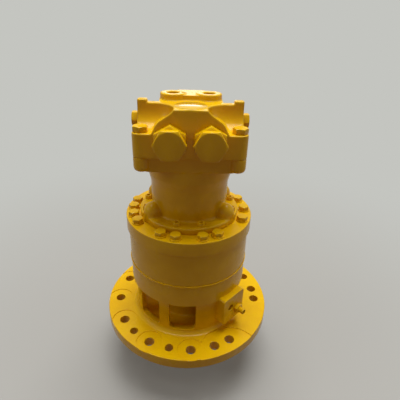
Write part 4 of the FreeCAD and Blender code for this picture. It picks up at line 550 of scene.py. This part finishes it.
def node_centres(node, count):
    """Where each of a node's separate solids stands, as x and y of the middle of its box."""
    mesh = frame["nodes"][node].data
    shells = bmesh.new()
    shells.from_mesh(mesh)
    bmesh.ops.remove_doubles(shells, verts=shells.verts, dist=WELD)
    left = set(shells.verts)
    centres = []
    while left:
        start = left.pop()
        shell, queue = [start], [start]
        while queue:
            for edge in queue.pop().link_edges:
                for vertex in edge.verts:
                    if vertex in left:
                        left.remove(vertex)
                        shell.append(vertex)
                        queue.append(vertex)
        xs = [v.co.x for v in shell]
        ys = [v.co.y for v in shell]
        centres.append(((min(xs) + max(xs)) / 2, (min(ys) + max(ys)) / 2))
    shells.free()
    if len(centres) != count:
        raise RuntimeError(f"{node} has {len(centres)} solids, not {count}")
    return sorted(centres)


def camera_turn():
    """The camera's turn, from its pitch below the level, its yaw to the right and its roll."""
    flat = math.cos(CAMERA_PITCH)
    ahead = Vector((math.sin(CAMERA_YAW) * flat, math.cos(CAMERA_YAW) * flat,
                    -math.sin(CAMERA_PITCH)))
    right = ahead.cross(Vector((0, 0, 1))).normalized()
    up = right.cross(ahead)
    level = right * math.cos(CAMERA_ROLL) + up * math.sin(CAMERA_ROLL)
    upright = -right * math.sin(CAMERA_ROLL) + up * math.cos(CAMERA_ROLL)
    return Matrix((level, upright, -ahead)).transposed().to_4x4()


# Pieces


class GEARBOX_OT_stage(bpy.types.Operator):
    """Build the floor, the lamps and the camera"""

    bl_idname = "gearbox.stage"
    bl_label = "Studio"

    def execute(self, context):
        scene = context.scene
        scene.view_settings.view_transform = "Standard"
        floor_level = CAD_BOX[0][2]
        deselect()
        bpy.ops.mesh.primitive_plane_add(size=FLOOR_SIZE,
                                         location=(0, FLOOR_MIDDLE, floor_level))
        floor = context.object
        floor.name = "studio_floor"
        bpy.ops.object.mode_set(mode="EDIT")
        mesh = bmesh.from_edit_mesh(floor.data)
        for edge in mesh.edges:
            edge.select_set(all(vertex.co.y > FLOOR_SIZE * 0.49 for vertex in edge.verts))
        mesh.select_flush_mode()
        bmesh.update_edit_mesh(floor.data)
        bpy.ops.mesh.extrude_region_move(
            TRANSFORM_OT_translate={"value": (0, 0, BACKDROP_HEIGHT)})
        bpy.ops.object.mode_set(mode="OBJECT")
        apply_modifier(floor, "BEVEL", width=BACKDROP_CURVE, segments=24, limit_method="ANGLE",
                       angle_limit=math.radians(60))
        bpy.ops.object.shade_smooth()
        activate(floor)
        bpy.ops.object.transform_apply(location=True, rotation=True, scale=True)
        dress(floor, studio_paper())

        world = bpy.data.worlds.new("studio_air")
        scene.world = world
        world.use_nodes = True
        tree = world.node_tree
        tree.nodes.clear()
        air = add(tree, "ShaderNodeBackground", {"Color": linear("EBCDA4"), "Strength": 0.16})
        wall = add(tree, "ShaderNodeBackground", {"Color": colours().floor, "Strength": 1.0})
        mixed = add(tree, "ShaderNodeMixShader", None, {"Fac": seen_rays(tree)})
        tree.links.new(air.outputs["Background"], mixed.inputs[1])
        tree.links.new(wall.outputs["Background"], mixed.inputs[2])
        add(tree, "ShaderNodeOutputWorld", None, {"Surface": mixed.outputs["Shader"]})

        for name, place, aim, size, power in LAMPS:
            lamp = bpy.data.lights.new(name, "AREA")
            lamp.energy = power
            lamp.size = size
            thing = bpy.data.objects.new(name, lamp)
            scene.collection.objects.link(thing)
            thing.location = place
            beam = Vector(aim) - Vector(place)
            thing.rotation_euler = beam.to_track_quat("-Z", "Y").to_euler()

        camera = bpy.data.cameras.new("photo_camera")
        camera.sensor_width = SENSOR_WIDTH
        camera.lens = FOCAL_LENGTH / FRAME_WIDTH * SENSOR_WIDTH
        camera.clip_start = 0.05
        thing = bpy.data.objects.new("photo_camera", camera)
        scene.collection.objects.link(thing)
        thing.matrix_world = Matrix.Translation(CAMERA_PLACE) @ camera_turn()
        scene.camera = thing
        return {"FINISHED"}


class GEARBOX_OT_finishes(bpy.types.Operator):
    """Give every CAD node the finish of its slot"""

    bl_idname = "gearbox.finishes"
    bl_label = "Finishes"

    def execute(self, context):
        for entry in frame["record"]["subparts"]:
            dress(frame["nodes"][entry["node"]], finish_of(entry["material_slot"]))
        dress(frame["nodes"]["lower_housing"], cast_enamel())
        return {"FINISHED"}


def level_disc():
    """The flat machined disc on top of the valve casing, its rim rounded by the paint."""
    radius, top, foot = 34.5 * MM, 2.2 * MM, -4 * MM
    disc = lathe("level_disc", [
        (0, foot), (radius, foot), (radius, top - 1.1 * MM),
        (radius - 0.3 * MM, top - 0.4 * MM), (radius - 1.1 * MM, top), (0, top)], 64)
    disc.data.transform(Matrix.Translation((0, -81 * MM, 620 * MM)))
    return disc


def gauge_drill():
    """The small gauge hole beside the left port, cut after the casting is rounded."""
    radius, mouth, depth, above = 4 * MM, 5.2 * MM, 18 * MM, 3 * MM
    drill = lathe("gauge_drill", [
        (0, -depth), (radius, -depth), (radius, -0.6 * MM), (mouth, 0.6 * MM),
        (mouth, above), (0, above)], 32)
    drill.data.transform(Matrix.Translation((-17 * MM, -4 * MM, 634 * MM)))
    return drill


def plug_web(side):
    """The wedge of metal from a plug's boss up to the spine, level with the valve casing's front.

    Each row is an X, the height of the front edge there and the height of the hollow behind it.
    """
    rows = ((34, 620, 606), (38.7, 615, 593), (47, 608, 584), (56, 602, 581), (66, 595, 576),
            (73, 586, 570), (78, 574, 564), (81, 560, 556), (81, 550, 550), (34, 550, 550))
    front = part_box("valve_casing")[0][1]
    deselect()
    bpy.ops.mesh.primitive_plane_add(size=MM)
    web = bpy.context.object
    web.name = "plug_web"
    bpy.ops.object.mode_set(mode="EDIT")
    bpy.ops.mesh.select_all(action="SELECT")
    bpy.ops.mesh.merge(type="CENTER")
    bpy.ops.transform.translate(value=(side * rows[0][0] * MM, front, rows[0][1] * MM))
    for before, after in zip(rows, rows[1:]):
        step = (side * (after[0] - before[0]) * MM, 0, (after[1] - before[1]) * MM)
        bpy.ops.mesh.extrude_region_move(TRANSFORM_OT_translate={"value": step})
    bpy.ops.mesh.select_all(action="SELECT")
    bpy.ops.mesh.edge_face_add()
    bpy.ops.mesh.select_all(action="SELECT")
    behind, share = 0, 1.0
    for depth, part in ((5, 0.97), (11, 0.86), (18, 0.66), (26, 0.40), (35, 0.17), (46, 0.0)):
        bpy.ops.mesh.extrude_region_move(
            TRANSFORM_OT_translate={"value": (0, (depth - behind) * MM, 0)})
        mesh = bmesh.from_edit_mesh(web.data)
        for vertex in mesh.verts:
            if vertex.select:
                row = min(rows, key=lambda r: (abs(r[0] * MM - abs(vertex.co.x)),
                                               abs(r[2] + (r[1] - r[2]) * share
                                                   - vertex.co.z / MM)))
                vertex.co.z = (row[2] + (row[1] - row[2]) * part) * MM
        bmesh.update_edit_mesh(web.data)
        behind, share = depth, part
    bpy.ops.mesh.select_all(action="SELECT")
    bpy.ops.mesh.quads_convert_to_tris()
    bpy.ops.mesh.normals_make_consistent(inside=False)
    bpy.ops.object.mode_set(mode="OBJECT")
    return web


def melt_edges(piece, grain):
    """Round all of a casting's edges and corners on a grid this fine, then thin its mesh."""
    apply_modifier(piece, "REMESH", mode="VOXEL", voxel_size=grain, use_smooth_shade=True)
    apply_modifier(piece, "SMOOTH", factor=0.5, iterations=7)
    apply_modifier(piece, "DECIMATE", decimate_type="COLLAPSE", ratio=0.45)
    activate(piece)
    bpy.ops.object.shade_smooth()
    return piece


class GEARBOX_OT_castings(bpy.types.Operator):
    """Round the edges of the motor's two castings as a mould and thick paint leave them"""

    bl_idname = "gearbox.castings"
    bl_label = "Motor castings"

    def execute(self, context):
        valve = merged_copy("valve_casing")
        valve = join(valve.name, [valve, plug_web(-1), plug_web(1)])
        melt_edges(valve, 1.7 * MM)
        combine(valve, gauge_drill(), "DIFFERENCE")
        publish(valve, "casing", cast_enamel(), "valve_casing")
        disc = settle(level_disc())
        dress(disc, glazed_enamel())
        join(valve.name, [valve, disc])

        motor = melt_edges(merged_copy("motor_casing"), 1.9 * MM)
        publish(motor, "casing", cast_enamel(), "motor_casing")
        return {"FINISHED"}


class GEARBOX_OT_gear_cases(bpy.types.Operator):
    """Round the outer edges of the housing, the ring gear and the lid as thick paint does"""

    bl_idname = "gearbox.gear_cases"
    bl_label = "Gear cases"

    def execute(self, context):
        width = sizes().case_edge
        housing = round_outer_edges(merged_copy("lower_housing"), width, 150 * MM)
        housing = join(housing.name, [housing, settle(joint_lip())])
        publish(housing, "casing", cast_enamel(), "lower_housing")

        # No edge of the ring gear lies as far out as this, so it keeps its own chamfers.
        for node, least in (("ring_gear", 170 * MM), ("top_cover", 130 * MM)):
            piece = round_outer_edges(merged_copy(node), width, least)
            publish(piece, "casing", finish_of("golden_paint"), node)
        return {"FINISHED"}


def plain_shank(name, radius, runout, low, high):
    """A fastener's shank between two heights, turned down at its lower end."""
    return lathe(name, [(0, low), (radius - runout, low), (radius, low + runout),
                        (radius, high), (0, high)], 32)


class GEARBOX_OT_lid_bolts(bpy.types.Operator):
    """Model the lid's bolts with their washers"""

    bl_idname = "gearbox.lid_bolts"
    bl_label = "Lid bolts"

    def execute(self, context):
        size = sizes()
        places = node_centres("cover_bolts", 15)
        head = hexagon("lid_bolt", size.lid_bolt_flats, size.lid_bolt_head,
                       size.washer_thickness)
        soft_edges(head, size.edge)
        neck = size.lid_bolt_flats / 2 * 0.9
        under, over = size.washer_thickness - 0.2 * MM, size.washer_thickness + 1 * MM
        collar = lathe("lid_bolt_collar", [(0, under), (neck, under), (neck, over), (0, over)])
        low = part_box("cover_bolts")[0][2] - LID_TOP
        shank = plain_shank("lid_bolt_shank", 8 * MM, 0.8 * MM, low, over)
        bolt = join("lid_bolt", [head, collar, shank])
        turned = [stand(x, y, LID_TOP, math.degrees(math.atan2(x, -y)) + 7 * (index % 5))
                  for index, (x, y) in enumerate(places)]
        paint(join("lid_bolts", copies(bolt, turned)), "cover_bolts")

        bore, outer, thick = 8.5 * MM, size.washer_radius, size.washer_thickness
        rounding = 0.6 * MM
        washer = lathe("lid_washer", [
            (bore, 0), (outer, 0), (outer, thick - rounding),
            (outer - rounding * 0.3, thick - rounding * 0.3), (outer - rounding, thick),
            (bore, thick), (bore, 0)])
        placed = [stand(x, y, LID_TOP) for x, y in places]
        paint(join("lid_washers", copies(washer, placed)), "cover_washers")
        return {"FINISHED"}


class GEARBOX_OT_corner_bolts(bpy.types.Operator):
    """Model the four bolts at the motor's corners"""

    bl_idname = "gearbox.corner_bolts"
    bl_label = "Corner bolts"

    def execute(self, context):
        size = sizes()
        places = node_centres("corner_bolts", 4)
        seat = CORNER_BOLT_TOP - size.corner_bolt_head
        lift = 1.2 * MM
        head = hexagon("corner_bolt", size.corner_bolt_flats, size.corner_bolt_head - lift, lift)
        soft_edges(head, size.edge)
        half = size.corner_bolt_flats / 2
        collar = lathe("corner_bolt_collar", [
            (0, 0), (half * 0.97, 0), (half * 0.97, 0.9 * MM), (half * 0.9, 1.4 * MM),
            (0, 1.4 * MM)])
        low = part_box("corner_bolts")[0][2] - seat
        shank = plain_shank("corner_bolt_shank", 10 * MM, MM, low, 0.6 * MM)
        bolt = join("corner_bolt", [head, collar, shank])
        turned = [stand(x, y, seat, 11 * index) for index, (x, y) in enumerate(places)]
        paint(join("corner_bolts_painted", copies(bolt, turned)), "corner_bolts")
        return {"FINISHED"}


def facing(x, y, z, outward):
    """The matrix that stands a piece here with its own Z along this level direction."""
    axis = Vector((*outward, 0)).normalized()
    side = Vector((0, 0, 1)).cross(axis)
    turn = Matrix((side, Vector((0, 0, 1)), axis)).transposed().to_4x4()
    return Matrix.Translation((x, y, z)) @ turn


def centre(node):
    """The middle of a CAD node's box."""
    low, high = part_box(node)
    return [(a + b) / 2 for a, b in zip(low, high)]


def bored_shank(name, radius, length, bore, depth):
    """A threaded shank below zero, its inner end bored to guide a poppet."""
    edge = 0.8 * MM
    return lathe(name, [
        (0, depth - length), (bore, depth - length), (bore, -length), (radius - edge, -length),
        (radius, edge - length), (radius, 0.6 * MM), (0, 0.6 * MM)], 40)


class GEARBOX_OT_check_plugs(bpy.types.Operator):
    """Model the two large plugs, each with a hexagon collar behind its hexagon head"""

    bl_idname = "gearbox.check_plugs"
    bl_label = "Check valve plugs"

    def execute(self, context):
        size = sizes()
        for node in ("check_plug_left", "check_plug_right"):
            x, _, z = centre(node)
            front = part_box(node)[0][1]
            collar = hexagon("plug_collar", size.plug_collar_flats, size.plug_collar)
            soft_edges(collar, size.edge)
            head = hexagon("plug_head", size.plug_flats, size.plug_head, size.plug_collar)
            head.data.transform(Matrix.Rotation(math.radians(30), 4, "Z"))
            soft_edges(head, size.edge)
            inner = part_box(node)[1][1] - front - size.plug_collar - size.plug_head
            shank = bored_shank("plug_shank", 20 * MM, inner, 8.03 * MM, 16 * MM)
            plug = join(node + "_painted", [collar, head, shank])
            face = front + size.plug_collar + size.plug_head
            plug.data.transform(facing(x, face, z, (0, -1)))
            paint(plug, node)
        return {"FINISHED"}


class GEARBOX_OT_relief_plugs(bpy.types.Operator):
    """Model the hexagon plugs of the two side relief valves"""

    bl_idname = "gearbox.relief_plugs"
    bl_label = "Relief valve plugs"

    def execute(self, context):
        size = sizes()
        for node, side in (("relief_plug_left", -1), ("relief_plug_right", 1)):
            y, z = centre(node)[1:]
            low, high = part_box(node)
            head = hexagon("relief_head", size.relief_flats, size.relief_head)
            head.data.transform(Matrix.Rotation(math.radians(30), 4, "Z"))
            soft_edges(head, size.edge)
            face = (high[0] if side > 0 else low[0]) - side * size.relief_head
            inner = high[0] - low[0] - size.relief_head
            shank = bored_shank("relief_shank", 12 * MM, inner, 4.03 * MM, 14 * MM)
            plug = join(node + "_painted", [head, shank])
            plug.data.transform(facing(face, y, z, (side, 0)))
            paint(plug, node)
        return {"FINISHED"}


class GEARBOX_OT_mount_screws(bpy.types.Operator):
    """Model the socket head screws in the motor's flange"""

    bl_idname = "gearbox.mount_screws"
    bl_label = "Motor mount screws"

    def execute(self, context):
        size = sizes()
        places = node_centres("mount_screws", 8)
        low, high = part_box("mount_screws")
        seat = high[2] - size.screw_head
        radius, top, foot = size.screw_radius, size.screw_head, low[2] - seat
        bevel, thread, socket_depth = 0.9 * MM, 5 * MM, 5 * MM
        screw = lathe("mount_screw", [
            (0, foot), (4.4 * MM, foot), (thread, foot + 0.7 * MM), (thread, 0.05 * MM),
            (radius - 0.4 * MM, 0), (radius, 0.4 * MM), (radius, top - bevel),
            (radius - bevel * 0.3, top - bevel * 0.3), (radius - bevel, top),
            (5.4 * MM, top), (4.9 * MM, top - 0.5 * MM), (0, top - 0.5 * MM)], 40)
        socket = hexagon("mount_socket", size.screw_radius, socket_depth, top - socket_depth,
                         bevel=False)
        combine(screw, socket, "DIFFERENCE")
        turned = [stand(x, y, seat, 17 * index) for index, (x, y) in enumerate(places)]
        paint(join("mount_screws_painted", copies(screw, turned)), "mount_screws")
        return {"FINISHED"}


class GEARBOX_OT_drain_stub(bpy.types.Operator):
    """Model the stub pipe on the lug, with its hexagon and rolled end"""

    bl_idname = "gearbox.drain_stub"
    bl_label = "Drain stub"

    def execute(self, context):
        size = sizes()
        azimuth = math.radians(45)
        outward = Vector((math.sin(azimuth), -math.cos(azimuth)))
        low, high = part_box("drain_pipe")
        height = (low[2] + high[2]) / 2
        side = Vector((outward.y, -outward.x))
        middle = Vector(((low[0] + high[0]) / 2, (low[1] + high[1]) / 2))
        offset = middle.dot(side)
        radius, bore = 8 * MM, 5 * MM
        # The pipe's length outside the lug and in it, and the lug's face from the main axis.
        length, inner, face = 24 * MM, 23 * MM, 175 * MM
        nut = hexagon("stub_nut", size.stub_flats, 9 * MM)
        soft_edges(nut, size.edge * 0.8)
        tube = lathe("stub_tube", [
            (bore, -inner), (radius - 0.5 * MM, -inner), (radius, 0.5 * MM - inner),
            (radius, -0.2 * MM), (7.2 * MM, 0.2 * MM), (7.2 * MM, length - 7 * MM),
            (7.5 * MM, length - 6.2 * MM), (radius, length - 4 * MM), (radius, length - 2.6 * MM),
            (7.3 * MM, length - 0.8 * MM), (6.8 * MM, length), (5.6 * MM, length),
            (bore, length - 0.6 * MM), (bore, -inner)], 40)
        hole = lathe("stub_bore", [
            (0, -inner - MM), (bore, -inner - MM), (bore, length + MM), (0, length + MM)], 40)
        combine(nut, hole, "DIFFERENCE")
        stub = join("drain_stub_painted", [nut, tube])
        base = outward * face + side * offset
        stub.data.transform(facing(base.x, base.y, height, outward))
        paint(stub, "drain_pipe")
        return {"FINISHED"}


class GEARBOX_PT_panel(bpy.types.Panel):
    """List the gearbox's operators and settings"""

    bl_label = "Gearbox"
    bl_idname = "GEARBOX_PT_panel"
    bl_space_type = "VIEW_3D"
    bl_region_type = "UI"
    bl_category = "Gearbox"

    def draw(self, context):
        for kind in OPERATORS:
            self.layout.operator(kind.bl_idname)
        for settings in (sizes(), colours()):
            for key in settings.bl_rna.properties.keys():
                if key not in ("rna_type", "name"):
                    self.layout.prop(settings, key)


OPERATORS = (
    GEARBOX_OT_stage,
    GEARBOX_OT_finishes,
    GEARBOX_OT_castings,
    GEARBOX_OT_gear_cases,
    GEARBOX_OT_lid_bolts,
    GEARBOX_OT_corner_bolts,
    GEARBOX_OT_check_plugs,
    GEARBOX_OT_relief_plugs,
    GEARBOX_OT_mount_screws,
    GEARBOX_OT_drain_stub,
)
CLASSES = (GearboxSizes, GearboxColours, *OPERATORS, GEARBOX_PT_panel)


def register():
    for kind in CLASSES:
        bpy.utils.register_class(kind)
    bpy.types.Scene.gearbox_sizes = PointerProperty(type=GearboxSizes)
    bpy.types.Scene.gearbox_colours = PointerProperty(type=GearboxColours)


def unregister():
    del bpy.types.Scene.gearbox_colours
    del bpy.types.Scene.gearbox_sizes
    for kind in reversed(CLASSES):
        bpy.utils.unregister_class(kind)


def main():
    register()
    bpy.ops.gearbox.stage()
    bpy.ops.gearbox.finishes()
    bpy.ops.gearbox.castings()
    bpy.ops.gearbox.gear_cases()
    bpy.ops.gearbox.lid_bolts()
    bpy.ops.gearbox.corner_bolts()
    bpy.ops.gearbox.check_plugs()
    bpy.ops.gearbox.relief_plugs()
    bpy.ops.gearbox.mount_screws()
    bpy.ops.gearbox.drain_stub()


if __name__ == "__main__":
    main()
